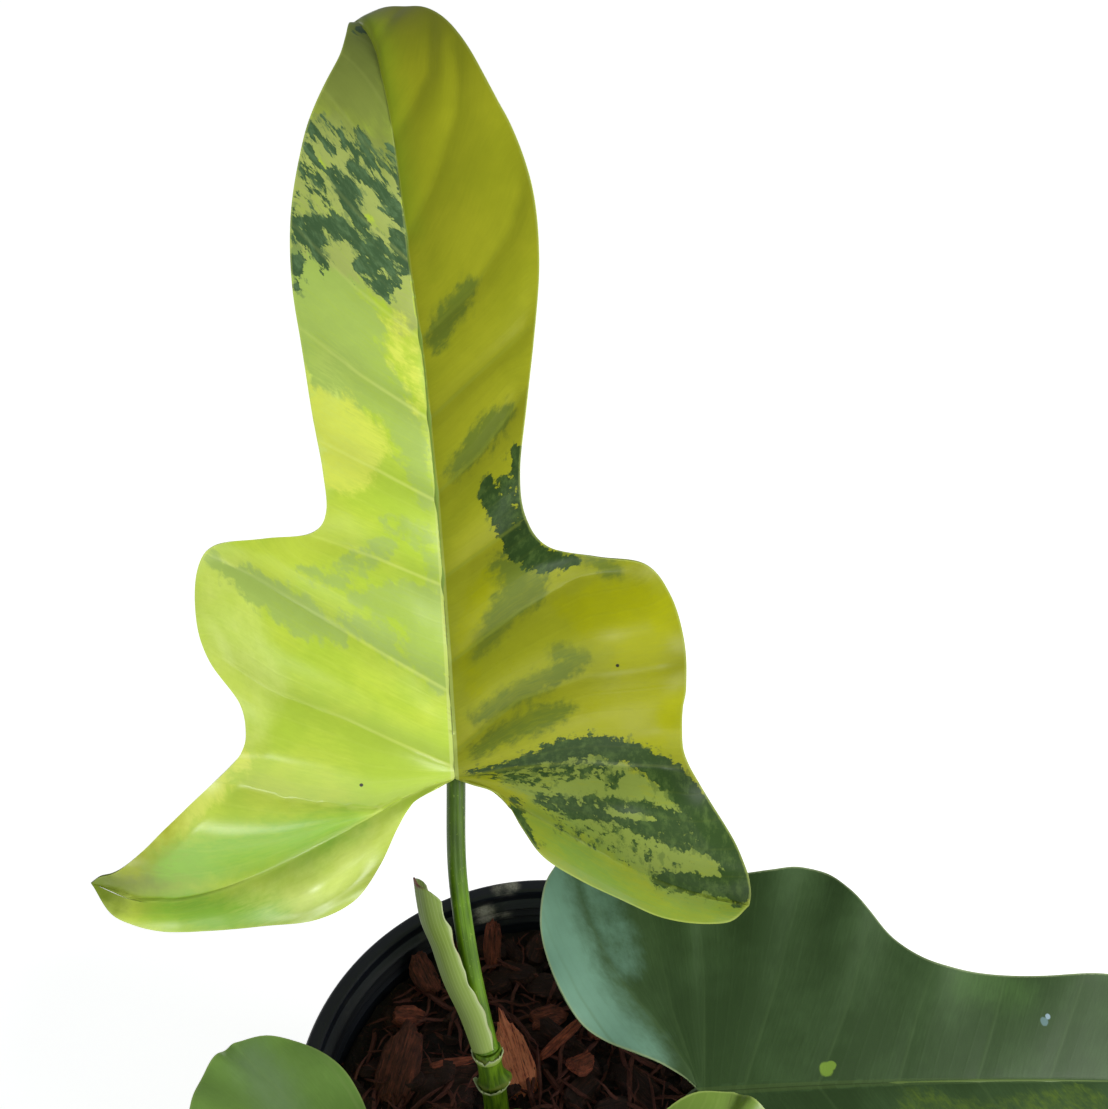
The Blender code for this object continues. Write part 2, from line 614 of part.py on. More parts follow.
def make_sheath(group):
    """Half a tube, wide where it clasps the stalk, folded and pointed at its free end."""
    path = smooth_path(SHEATH_PATH, SHEATH_ROWS)
    radii = smooth_path([(radius,) for radius in SHEATH_RADII], SHEATH_ROWS)[:, 0]
    bm = bmesh.new()
    rows = []
    for k, (place, radius) in enumerate(zip(path, radii)):
        ahead = Vector(path[min(k + 1, SHEATH_ROWS - 1)] - path[max(k - 1, 0)]).normalized()
        mouth = (SHEATH_OPENS_TO - ahead * SHEATH_OPENS_TO.dot(ahead)).normalized()
        side = ahead.cross(mouth)
        height = k / (SHEATH_ROWS - 1)
        half_arc = math.radians(SHEATH_ARC) / 2 * (1 - 0.25 * height)
        row = []
        for j in range(SHEATH_COLUMNS):
            angle = math.pi + half_arc * (2 * j / (SHEATH_COLUMNS - 1) - 1)
            offset = mouth * math.cos(angle) + side * math.sin(angle)
            row.append(bm.verts.new(Vector(place) + offset * radius))
        rows.append(row)
    for lower, upper in zip(rows, rows[1:]):
        for j in range(SHEATH_COLUMNS - 1):
            bm.faces.new((lower[j], lower[j + 1], upper[j + 1], upper[j]))
    bmesh.ops.triangulate(bm, faces=bm.faces)
    sheath = add_mesh("cataphyll", bm, group, material("sheath"))
    sheath.data.shade_smooth()
    wall = sheath.modifiers.new("thickness", "SOLIDIFY")
    wall.thickness = SHEATH_THICKNESS
    wall.offset = 0
    return sheath


def main():
    for obj in list(bpy.data.objects):
        bpy.data.objects.remove(obj)
    parts = collection("fiddle_leaf_philodendron")
    cutters = collection("cutters")
    leaves = {name: Leaf(spec) for name, spec in LEAVES.items()}
    keep_clear = [Vector(row) for row in smooth_path(STEM_PATH, 12)[4:]]
    for leaf in leaves.values():
        keep_clear += [point for point in stalk_line(leaf)[0] if point.z < BARK_LEVEL + 22 * MM]
    make_pot(parts, cutters)
    make_bark(parts, cutters, keep_clear)
    stem = add_tube("stem", *stem_line(), parts, material("stem"))
    stem.data.materials[0].name = "stem"
    stem_cutter = as_cutter(add_tube("stem_cutter", *stem_line(GAP), cutters))
    make_sheath(parts)
    for name, leaf in leaves.items():
        make_stalk(name, leaf, parts, stem_cutter)
        make_blade(name, leaf, parts)


main()
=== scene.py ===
"""Looks of the fiddle leaf philodendron: marbled blades, stalks, sheath, bark mix and pot.

Metres, +Z up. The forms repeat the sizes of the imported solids, with finer steps.
"""
import json
import math
import random

import bmesh
import bpy
import numpy as np
from mathutils import Euler, Matrix, Vector, noise

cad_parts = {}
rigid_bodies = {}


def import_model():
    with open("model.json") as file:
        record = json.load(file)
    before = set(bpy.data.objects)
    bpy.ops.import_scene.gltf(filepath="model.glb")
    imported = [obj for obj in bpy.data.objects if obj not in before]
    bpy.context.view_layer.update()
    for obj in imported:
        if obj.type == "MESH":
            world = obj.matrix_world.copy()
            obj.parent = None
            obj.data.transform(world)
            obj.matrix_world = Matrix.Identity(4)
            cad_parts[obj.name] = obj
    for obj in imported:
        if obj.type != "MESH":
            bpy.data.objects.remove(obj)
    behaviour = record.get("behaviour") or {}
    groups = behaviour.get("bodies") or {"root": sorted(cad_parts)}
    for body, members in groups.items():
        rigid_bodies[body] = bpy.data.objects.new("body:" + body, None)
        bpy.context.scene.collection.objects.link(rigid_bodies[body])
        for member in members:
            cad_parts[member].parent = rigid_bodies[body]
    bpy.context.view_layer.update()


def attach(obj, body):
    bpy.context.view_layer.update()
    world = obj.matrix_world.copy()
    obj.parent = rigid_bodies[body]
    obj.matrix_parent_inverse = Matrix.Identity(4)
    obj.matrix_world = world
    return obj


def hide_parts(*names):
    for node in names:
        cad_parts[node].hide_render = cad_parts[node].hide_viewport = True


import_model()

MM = 0.001


def mm(*sizes):
    """A point given in millimetres."""
    return Vector(sizes) * MM


# The photograph's viewpoint
CAMERA_PLACE = Vector((0.00342, -0.20981, 0.52150))
CAMERA_TILT = 40             # degrees below the horizon
CAMERA_WIDTH = 45            # degrees across the picture

# Pot
POT_HEIGHT = 134 * MM
RIM_RADIUS = 76 * MM
LIP_WIDTH = 5.5 * MM
LIP_DEPTH = 4.6 * MM
LIP_ROUNDING = 1.8 * MM
WALL = 1.4 * MM
FOOT_RADIUS = 56 * MM
FOOT_ROUNDING = 3.5 * MM
FLOOR = 2.2 * MM
FLOOR_ROUNDING = 2.5 * MM
SKIRT_DEPTH = 20 * MM
SKIRT_STEP = 0.9 * MM
RIDGE_HEIGHT = 0.8 * MM
RIDGE_LEVELS = (127.5 * MM, 124 * MM, 120.5 * MM)
POT_STEPS = 192
DRAIN_RADIUS = 4.5 * MM
DRAIN_RING = 40 * MM
DRAIN_COUNT = 8

# Bark mix
BARK_LEVEL = 116 * MM
BED_RINGS = 40
BED_SEGMENTS = 120

# Stem
STEM_RADIUS = 3.9 * MM
STEM_STEPS = 150
STEM_PATH = (mm(-8.6, -31.5, 72), mm(-12.2, -16.7, 116), mm(-13.7, -9.3, 136),
             mm(-16.2, -2.2, 158))

# Blades
MIDRIB_WIDTH = 1.15 * MM       # half the width of the pale band at the stalk
BLADE_THICKNESS = 0.5 * MM
FINE = (250, 84, 40)         # rows along the midrib and the lobe vein, columns to the edge
PLAIN = (150, 56, 28)
VEIN_DEPTH = 0.30 * MM       # how deep the main veins lie in the upper face
VEIN_WIDTH = 2.0 * MM
MIDRIB_DEPTH = 0.12 * MM
MIDRIB_GROOVE = 1.6          # how wide its groove is, in half widths of the pale band
OFF_MIDRIB = 9               # the same measure for places past the blade's foot
GROOVE_END = 4 * MM          # how far from the edge the vein's groove fades
QUILT_START = 8 * MM         # how far from the midrib the swelling is full
QUILT_END = 7 * MM           # and how far from the edge
QUILT_LOSS = 0.65            # how much less of it there is on the upper part of the blade
QUILT_FALL = 40 * MM         # the length in which it falls, which starts 1.5 lengths up
CREST_FLANK = 1.2 * MM       # width of the crest's steep side
CREST_REACH = 8 * MM         # how far across it fades
CREST_END = 14               # millimetres along in which it ends
LEFT_FALL_REACH = 5 * MM
LOBE_VEIN_ROOM = 14 * MM     # room between side veins below the lobe's big vein
DRIFT_REACH = 10 * MM        # beyond this the side veins don't stray with the midrib

# Half a blade is given by its ribs, which run from a root to the edge. The first list has
# its roots on the midrib, from the tip down: (root along, edge along, edge across). The
# second has them on the big vein of the basal lobe, from the stalk to the lobe's tip, with
# an edge above and one below: (root along, across, upper along, across, lower along,
# across). All are millimetres from the stalk on the flattened blade.
MAIN_LEFT = (
    ((224, 224, 0), (212, 219, 5), (198, 210, 10), (182, 199, 15), (165, 186, 21),
     (148, 171, 27), (131, 155, 31), (114, 138, 32), (97, 120, 31), (82, 103, 30),
     (70, 89, 28.5), (60, 78, 28.5), (53, 72.5, 33), (45, 72, 45), (36, 71, 58),
     (28, 64, 63.3), (19, 51, 64.5), (11, 40, 62), (5, 28, 55.5)),
    ((0, 0, 19, 54.5, -0.8, 2.4), (-1, 7, 14, 56, -5, 11.5), (-4, 15, 10, 59.5, -11, 16),
     (-8, 24, 5, 65, -20, 21), (-12, 33, -1, 72, -29, 28.5), (-17, 43, -7, 79, -33.5, 40),
     (-22, 54, -12, 84.5, -34.5, 54), (-26, 66, -16, 90, -35.5, 68),
     (-28, 78, -18, 94, -35, 82), (-27, 89, -19, 97.5, -30, 94),
     (-20.5, 100, -20.5, 100, -20.5, 100)),
)
MAIN_RIGHT = (
    ((224, 224, 0), (212, 218, 5), (198, 208, 9.5), (182, 197, 15), (165, 185, 21.5),
     (148, 171, 28.5), (131, 155, 32.5), (114, 138, 32.5), (97, 120, 29.5), (82, 102, 26),
     (70, 86, 23.2), (60, 74, 23.7), (53, 66, 29), (45, 63, 42), (36, 60.5, 54.5),
     (28, 52, 60.8), (19, 40, 63.8), (11, 28, 64), (5, 22, 63)),
    ((0, 0, 17, 62.6, -0.6, 2.6), (-0.6, 6, 11, 62.8, -2.8, 11), (-4, 13, 6, 64.3, -7, 15.2),
     (-8.5, 20, 1, 67, -12.5, 18.6), (-13, 28, -5, 70.5, -20, 24.5),
     (-18, 36, -11, 74, -27, 35.5), (-23, 44.5, -16.5, 77, -32, 46),
     (-27.5, 54, -21.5, 79, -36.5, 56), (-31, 63, -26, 80.4, -38.8, 66),
     (-33.5, 72, -30.5, 81, -38.5, 75), (-34.5, 80.6, -34.5, 80.6, -34.5, 80.6)),
)
OLDER_HALF = (
    ((212, 212, 0), (201, 207, 5), (188, 197, 10.5), (174, 185, 15.5), (158, 172, 20.5),
     (141, 157, 25.5), (124, 141, 28.7), (106, 123, 29.5), (90, 105, 28.5), (76, 89, 29),
     (65, 77, 30.3), (56, 69, 33), (48, 61, 39.5), (40, 55, 47), (32, 49.5, 54),
     (25, 44, 59.5), (18, 36, 61.5), (11, 27, 60.5), (5, 18, 60.5)),
    ((0, 0, 8, 62.5, -1.2, 1.8), (-2.2, 6, 3, 64, -5.5, 4.8), (-6.5, 13, -3, 66.5, -10.5, 7.5),
     (-11.8, 20, -9, 69, -17.5, 10), (-17.3, 27, -15, 70.8, -26, 13.5),
     (-22.5, 34, -21, 71.8, -34, 18.5), (-26, 41, -26, 71.8, -40, 26.5),
     (-29, 48, -30, 71, -43.5, 36), (-31.5, 55, -33.5, 69.8, -45.3, 47),
     (-34, 61.5, -36, 68.7, -43.5, 58), (-37.5, 67.5, -37.5, 67.5, -37.5, 67.5)),
)

FOLD_REACH = 25 * MM         # how far from the midrib the valley fold flattens out
LOBE_FOLD_REACH = 30 * MM
LOBE_LENGTH = 40 * MM
WAVE_COUNT = 9
WAVE_START = (0, 1.5)        # radians, on the left and on the right half
WAVE_FADE = 15 * MM          # ribs shorter than this have lower waves
SAME_PLACE = 0.004 * MM      # points nearer than this are merged

# Side veins of a half blade, from the tip down: (along, across) from the midrib to the edge.
# The lobe's big vein follows them as the last one.
MAIN_LEFT_VEINS = (
    ((224, 0), (224, 1)), ((198, 0), (207, 5), (212, 7)), ((178, 0), (190, 8), (203, 14)),
    ((160, 0), (172, 11), (188, 20)), ((141, 0), (154, 14), (171, 27)),
    ((121, 0), (135, 16), (153, 31)), ((100, 0), (113, 17), (127, 32)),
    ((78, 0), (88, 15), (98, 31)), ((55, 0), (64, 16), (72, 33)),
    ((25, 0), (48, 30), (61, 47), (69, 60)), ((3, 0), (21, 28), (31, 47), (43, 62)),
    ((0, 0), (-4, 15), (-6, 22), (-1, 46), (4, 58)),
)
MAIN_RIGHT_VEINS = (
    ((224, 0), (224, 1)), ((198, 0), (207, 5), (211, 8)), ((172, 0), (186, 9), (200, 12)),
    ((147, 0), (160, 7), (176, 14), (190, 16)), ((121, 0), (132, 14), (145, 25), (158, 31)),
    ((100, 0), (112, 15), (124, 31)), ((80, 0), (91, 13), (104, 24)),
    ((57, 0), (66, 13), (72, 22)), ((33, 0), (49, 21), (58, 36), (60, 50)),
    ((7, 0), (24, 19), (31, 38), (34, 62)), ((0, 0), (4, 15), (7, 36), (5, 64)),
)
OLDER_VEINS = (
    ((212, 0), (212, 1)), ((188, 0), (198, 6), (205, 9)), ((168, 0), (179, 11), (189, 15)),
    ((146, 0), (157, 13), (168, 22)), ((124, 0), (134, 15), (145, 28)),
    ((101, 0), (110, 16), (117, 28)), ((79, 0), (87, 16), (93, 29)),
    ((56, 0), (64, 18), (71, 31)), ((33, 0), (45, 22), (55, 46)), ((12, 0), (24, 26), (36, 57)),
    ((1, 0), (4, 28), (5, 63)), ((0, 0), (-6, 22), (-9, 45), (-14, 70)),
)

# Markings, by their colour and the half they lie on: how solid they are (millimetres of
# depth that the ragged edge can't break up, below zero for loose specks), then a chain of
# spots (along, across, radius) measured from the blade's middle line. A hole takes its colour
# away again.
LEFT, RIGHT = 0, 1
WAY = (-1, 1)                # the way in which across runs on each half
HOLE = -1
FAR_OUTSIDE = -20.0          # the depth where a colour has no marking near
MAIN_MARKS = {
    # Painted sheen and highlights on the left lobes and the basal flap
    ("light", LEFT): (
        (0, (60, 59, 8), (46, 58, 9), (34, 52, 7), (20, 55, 4)),
        (3, (-12, 23, 2), (-24, 34, 4), (-28, 48, 4), (-29, 60, 2)),
        (2, (-9, 16, 0.8), (-16, 23, 1), (-22, 31, 1.2), (-25, 38, 0.8)),
        (2, (-12, 26, 0.9), (-18, 34, 1), (-22, 44, 0.9)),
        (5, (116, 24, 5), (104, 26, 6), (92, 26, 6)),
    ),
    # Painted light: a bright band beside the midrib near the tip
    ("light", RIGHT): (
        (4, (216, -2, 2), (202, -3, 1.6), (188, -3.4, 1), (170, -2.6, 0.5), (150, -2, 0.1)),
    ),
    ("cream", LEFT): (
        (6, (176, 20, 5), (168, 15, 8), (160, 9, 7), (157, 26, 5), (148, 19, 8), (138, 9, 5)),
        (6, (172, 27, 6), (160, 30, 6), (150, 31, 6), (143, 31, 4)),
        (6, (168, 7, 5), (158, 6, 6), (150, 6, 5), (143, 5, 4)),
        (6, (160, 20, 6), (150, 22, 8), (141, 20, 6)),
        (6, (141, 4, 5), (133, 4, 5), (126, 4, 3)),
    ),
    ("cream", RIGHT): (
        (6, (2, 16, 3), (0, 34, 11), (-12, 54, 13), (-24, 67, 12)),
    ),
    ("mint", LEFT): (
        (6, (138, 27, 5), (132, 22, 7.5), (124, 20, 10), (117, 19, 9), (110, 16, 7.5),
         (106, 11, 5.5), (99, 7, 4.4), (91, 5, 3.6), (80, 3, 2.4)),
        (0.8, (62, 34, 2), (60, 28, 2.6), (64, 21, 3.6), (67, 14, 2.6)),
        (2.5, (54, 22, 2.4), (53, 14, 4.6), (50, 6, 5.6), (42, 4, 6), (34, 5, 4.2), (28, 3, 2.4)),
        (1.2, (48, 26, 2), (44, 18, 3.7), (37, 10, 3.5)),
        (2.5, (67, 59, 1.6), (62, 52, 3.2), (56, 44, 4.6), (50, 36, 4.5), (44, 28, 2.2)),
        (0.6, (74, 12, 2.4), (68, 3, 2.4), (60, 2, 2), (54, 2, 2.2)),
        (6, (140, 30, 5), (130, 29, 6), (121, 28, 5), (113, 27, 3)),
    ),
    ("mint", RIGHT): (
        (2.2, (134, 14, 2), (129, 10, 3.2), (125, 6, 3.2), (120, 3, 2.4)),
        (2.0, (102, 21, 1.6), (98, 17, 3.6), (93, 12, 3.2), (86, 5, 2)),
        (4, (59, 17, 4.6), (55, 23, 5.6), (50, 17, 4.6), (42, 12, 3.2), (35, 6, 1.6)),
        (1.6, (63, 40, 2.4), (59, 46, 2.6)),
        (2.4, (38, 31, 2.8), (36, 36, 2.8), (31, 28, 3.2), (24, 16, 3.2), (18, 7, 1.8)),
        (HOLE, (34, 26, 1.2), (33, 23, 0.8)),
        (3, (22, 32, 1.8), (19, 24, 3.6), (14, 14, 2.6), (8, 6, 1.4)),
    ),
    ("yellow", LEFT): (
        (0.2, (126, 7, 2), (119, 6, 2.8), (111, 4, 1.8), (103, 3, 1.4)),
        (5, (107, 28, 3.2), (100, 23, 7.4), (95, 17, 5.6), (90, 22, 7.4)),
        (2, (13, 57, 3.5), (1, 69, 3.8), (-10, 81, 3), (-18, 92, 2.6)),
    ),
    ("yellow", RIGHT): (
        (6, (50, 33, 2.6), (48, 42, 8), (46, 52, 10), (31, 56, 9.5), (19, 53, 8.5), (21, 42, 4)),
        (0.8, (57, 13, 2.4), (52, 10, 2.6), (40, 5, 2.2), (26, 7, 1.8)),
    ),
    # Partly olive colour and partly painted shade: the top of the left half and the tip of its
    # basal lobe, which curl away from the light
    ("olive", LEFT): (
        (9, (184, 6, 7), (174, 7, 6), (168, 5, 3)),
        (9, (208, 8, 9), (198, 11, 12), (188, 13, 13), (181, 10, 9)),
        (9, (-21, 99, 8), (-20, 91, 7), (-19, 83, 6), (-18, 76, 3)),
    ),
    ("green", LEFT): (
        (6, (-18, 79, 4), (-16, 72, 7), (-14, 59, 7), (-12, 42, 6), (-8, 28, 3)),
        (6, (-29, 82, 3), (-30, 76, 5), (-32, 63, 5), (-31, 50, 3)),
    ),
    ("green", RIGHT): (
        (6, (-10, 23, 4), (-21, 34, 6), (-30, 46, 5), (-35, 56, 3.5)),
        (3, (-35, 54, 3), (-38, 67, 4), (-36, 76, 4)),
    ),
    ("dark", LEFT): (
        (5, (164, 20, 1.6), (161, 17, 3), (156, 15, 3), (152, 13, 1.8)),
        (4, (166, 14, 2), (162, 10, 2.3), (157, 6, 2.1), (152, 4, 1.8), (148, 4, 1.4)),
        (1.1, (154, 29, 1.6), (152, 26, 3), (150, 20, 3.2), (150, 16, 2.4)),
        (5, (150, 26, 2.8), (145, 25, 1.9), (141, 24, 0.8)),
        (0.9, (149, 16, 2.8), (146, 12, 3.2), (143, 10, 3.6), (140, 6, 4), (145, 4, 3.2)),
        (1.0, (140, 13, 3.2), (136, 10, 2.6), (134, 8, 1.4)),
        (0, (177, 24, 2.6), (173, 24, 2)),
        (0.1, (173, 18, 2.8), (173, 14, 3), (171, 12, 2.4)),
        (0.3, (166, 10, 1.8), (168, 6, 2.4), (164, 3, 1.8), (158, 2, 1.4)),
        (0.3, (168, 26, 2.6), (162, 24, 2.4), (158, 22, 1.8)),
        (1.2, (158, 30, 1), (150, 30, 1.4), (145, 30, 1.8), (136, 31, 1)),
        (HOLE, (158, 11.5, 1.9), (153, 10, 1.9), (149, 10, 0.8)),
        (6, (210, 5, 2), (207, 4, 1.4)),
    ),
    ("dark", RIGHT): (
        (6, (83, 14.5, 2), (80, 15, 3.2), (75, 17, 3.2)),
        (3, (91, 23, 1.4), (86, 23, 2), (78, 24, 2.6), (71, 24, 3)),
        (0.75, (81, 19, 3.4), (74, 19, 4.8), (70, 20, 4.2)),
        (6, (71, 18, 2.4), (66, 22, 4.4), (62, 28, 3.4), (62, 36, 1.6)),
        (2, (2, 4, 0.7), (4, 13, 1.3), (7, 22, 2.2), (10, 30, 3.3), (12, 40, 3.2), (10, 48, 3.2),
         (6, 55, 4), (0, 62, 3.8), (-7, 68, 4.2), (-15, 73, 4.6), (-23, 76, 4), (-30, 78, 3.5)),
        (0, (3, 12, 2), (3, 22, 3), (5, 32, 4), (4, 42, 4)),
        (0.9, (-4, 24, 1.7), (-6, 33, 3.2), (-6, 43, 3.6), (-8, 52, 5), (-12, 62, 5),
         (-18, 68, 3.6)),
        (1.5, (-27, 56, 2.3), (-28, 64, 3.5), (-29, 72, 3.2), (-32, 78, 2.6)),
        (-0.6, (-10, 29, 2.5), (-14, 40, 4), (-18, 50, 5), (-22, 58, 3.5)),
        (HOLE, (0, 27, 1.9), (0, 34, 2.5), (0, 40, 1.9)),
        (HOLE, (0, 48, 1.2), (0, 52, 1.6), (-1, 56, 1)),
        (HOLE, (-5, 39, 0.8), (-7, 47, 0.9), (-8, 54, 0.6)),
        (HOLE, (-20, 60, 2.3), (-20, 66, 2.6), (-22, 71, 1.7)),
        (2, (-5, 16.5, 1.2), (-11, 18.5, 1.3), (-16, 21.5, 1)),
    ),
}
RIGHT_MARKS = {
    # Painted bluish sheen of the sky on the curled lobe
    ("light", LEFT): (
        (9, (-14, 10, 4), (-26, 18, 8), (-37, 30, 11), (-43, 46, 11), (-45, 62, 10)),
        (0, (-19, 36, 2.4), (-22, 46, 3), (-27, 58, 2.4)),
    ),
    ("yellow", RIGHT): (
        (-0.5, (60, 8, 5), (80, 14, 6), (110, 8, 6)),
        (3, (20, 30, 5), (34, 40, 6)),
    ),
    ("green", LEFT): (
        (4, (96, 24, 4), (88, 27, 6), (80, 26, 4)),
    ),
}
LEFT_MARKS = {
    # Painted sheen
    ("light", RIGHT): (
        (2, (-20, 40, 4), (-28, 50, 5), (-34, 60, 4)),
    ),
    ("yellow", LEFT): (
        (1, (20, 40, 5), (40, 36, 5)),
    ),
    ("yellow", RIGHT): (
        (1, (-6, 66, 2), (8, 62, 2), (22, 60, 2)),
    ),
    ("dark", LEFT): (
        (-0.6, (60, 10, 5), (90, 12, 7), (120, 10, 6)),
    ),
    ("dark", RIGHT): (
        (-0.5, (50, 12, 4), (84, 10, 6), (110, 14, 5)),
    ),
}
FRONT_MARKS = {
    ("yellow", LEFT): (
        (9, (-10, 48, 12), (10, 44, 14), (36, 30, 12), (60, 18, 9)),
    ),
    ("yellow", RIGHT): (
        (2, (90, 14, 8), (130, 16, 9)),
    ),
    ("green", LEFT): (
        (1, (-24, 40, 6), (-28, 56, 6)),
    ),
    ("green", RIGHT): (
        (3, (-10, 40, 9), (14, 30, 12), (46, 24, 10)),
    ),
    ("dark", LEFT): (
        (-0.6, (96, 16, 7), (130, 10, 7), (160, 8, 5)),
    ),
    ("dark", RIGHT): (
        (-0.6, (60, 12, 6), (110, 8, 6)),
    ),
}
# The colours in the order in which they are laid over each other, each with how far noise
# shifts its edge and how soft the edge is, in millimetres. The light marks are painted sheen
# and highlights, and the olive marks are partly olive colour and partly painted shade.
FIELDS = {"light": (9, 6.0), "cream": (12, 1.2), "mint": (14, 1.3), "yellow": (16, 1.8),
          "olive": (9, 8.0), "green": (9, 5.0), "dark": (14, 0.25)}
PATCHY = ("cream", "mint", "yellow", "green")       # these cover unevenly

# Swells of the big blade: half, along, across, height, reach, in millimetres
MAIN_SWELLS = ((LEFT, -26, 38, 1.4, 8), (RIGHT, 40, 44, 1.4, 12), (RIGHT, -4, 48, 1.4, 11))

# Colours of each leaf, 0 to 255, and how strongly its lines and gloss show. A colour whose
# name ends in _right is for the right half of the big blade: darker and more olive, partly its
# own colour and partly painted shade, as that half faces away from the light.
MAIN_INKS = {
    "base": (178, 206, 62), "base_right": (162, 168, 28),
    "base_2": (194, 215, 70), "base_2_right": (172, 176, 32),
    "cream": (170, 184, 98), "cream_right": (140, 158, 66),
    "mint": (168, 194, 92), "mint_right": (118, 134, 40),
    "yellow": (213, 225, 88), "yellow_right": (170, 174, 3),
    # The olive colours are partly painted shade
    "olive": (132, 146, 64), "olive_right": (140, 156, 40),
    "green": (142, 190, 56), "green_right": (128, 158, 58),
    # The light colours are painted sheen and highlights
    "light": (214, 232, 116), "light_right": (140, 170, 32),
    "dark": (66, 94, 58), "dark_right": (52, 78, 30),
    "dark_2": (92, 122, 80), "dark_2_right": (80, 106, 46),
    "vein": (216, 228, 124), "vein_right": (146, 160, 52), "vein_share": 0.35,
    "painted_crease_shade": 0.14, "midrib": (196, 212, 112), "midrib_share": 0.75,
    "midrib_line": (86, 104, 44), "rim": (196, 212, 110), "rim_share": 0.4,
    "back": (170, 186, 96), "rough": 0.33, "shine": 0.22, "gloss": 0.92,
}
RIGHT_INKS = {
    "base": (54, 79, 39), "base_2": (66, 93, 51), "yellow": (96, 122, 44),
    # light is a painted bluish sheen of the sky
    "green": (72, 104, 52), "light": (116, 158, 134), "vein": (80, 106, 60), "vein_share": 0.3,
    "painted_crease_shade": 0, "midrib": (96, 118, 60), "midrib_share": 0.3, "midrib_line": (50, 68, 30),
    "rim": (150, 168, 120), "rim_share": 0.75, "back": (122, 146, 104),
    "rough": 0.58, "shine": 0.22, "gloss": 0,
}
LEFT_INKS = {
    "base": (112, 150, 66), "base_2": (124, 162, 76), "yellow": (136, 158, 62),
    # light is a painted sheen
    "light": (130, 160, 110), "dark": (78, 110, 48), "dark_2": (90, 124, 58),
    "vein": (138, 164, 90), "vein_share": 0.35, "painted_crease_shade": 0, "midrib": (150, 172, 96),
    "midrib_share": 0.8, "midrib_line": (74, 96, 40), "rim": (150, 174, 96), "rim_share": 0.5,
    "back": (146, 170, 110), "rough": 0.33, "shine": 0.35, "gloss": 0,
}
FRONT_INKS = {
    "base": (118, 148, 58), "base_2": (130, 160, 68), "yellow": (196, 214, 74),
    "green": (112, 146, 64), "dark": (84, 116, 54), "dark_2": (104, 134, 72),
    "vein": (196, 214, 120), "vein_share": 0.35, "painted_crease_shade": 0, "midrib": (180, 202, 112),
    "midrib_share": 0.8, "midrib_line": (90, 114, 50), "rim": (180, 200, 110), "rim_share": 0.5,
    "back": (170, 190, 116), "rough": 0.33, "shine": 0.35, "gloss": 0,
}
# Single specks: along, across (minus on the left half), radius, colour. Those wider than a
# small speck fade softly from their middle.
SMALL_SPECK = 4
MAIN_SPECKS = ((2, -25, 0.6, (26, 30, 14)), (34, 46, 0.65, (26, 30, 14)),
               # The three wide specks darken the left basal lobe towards its tip: partly its own
               # yellowish colour and partly painted shade where the tip curls away
               (-4, -79, 9, (176, 186, 34)), (-13, -90, 11, (158, 170, 26)),
               (-22, -101, 13, (106, 126, 16)))
RIGHT_SPECKS = ((36, -4, 2.1, (128, 162, 58)), (37.6, -5, 1.4, (128, 162, 58)),
                # The two bluish specks are painted sheen
                (102, -15.6, 1.4, (104, 134, 132)), (103.4, -17, 0.9, (150, 176, 186)))

# Each leaf: where the stalk meets the blade, the way the midrib sets off, the way the upper
# face looks, how the blade bends, and its finish. Angles are degrees.
# arch, sway, roll_tip: bend down, turn and roll, reached at the tip
# curl, sway_tip: more bend and turn, from curl_from (a share of the length) to the tip
# lobes_back: bend of the lobes, reached LOBE_LENGTH below the stalk
# fold, fold_tip, lobe_fold: valleys at the midrib, at the tip and at the lobes' big veins
# spread, wave: rise of both halves to their edges, height of the waves there
# quilt, groove: swelling between side veins, as a share of their room, and how deep the
#     veins lie, as a share of VEIN_DEPTH
# drift: how far the midrib strays to the left of the blade's middle line, in millimetres,
#     at places along it
# tip_crest: the crest of the right half beside the midrib near the tip: where it starts, how
#     soon it is full, where it ends, its height, the fall beyond it and the fall of the left
#     half, in millimetres
OLDER = dict(
    halves=(OLDER_HALF, OLDER_HALF), veins=(OLDER_VEINS, OLDER_VEINS), rows=PLAIN, size=0.86,
    curl_from=0.75, roll_tip=0, fold=14, fold_tip=12, spread=1, lobe_fold=14, wave=1.4 * MM,
    stalk_radius=2.5 * MM, stalk_skin="dark", quilt=0.014, groove=0.7, drift=((0, 0), (1, 0)),
    swells=(), specks=())
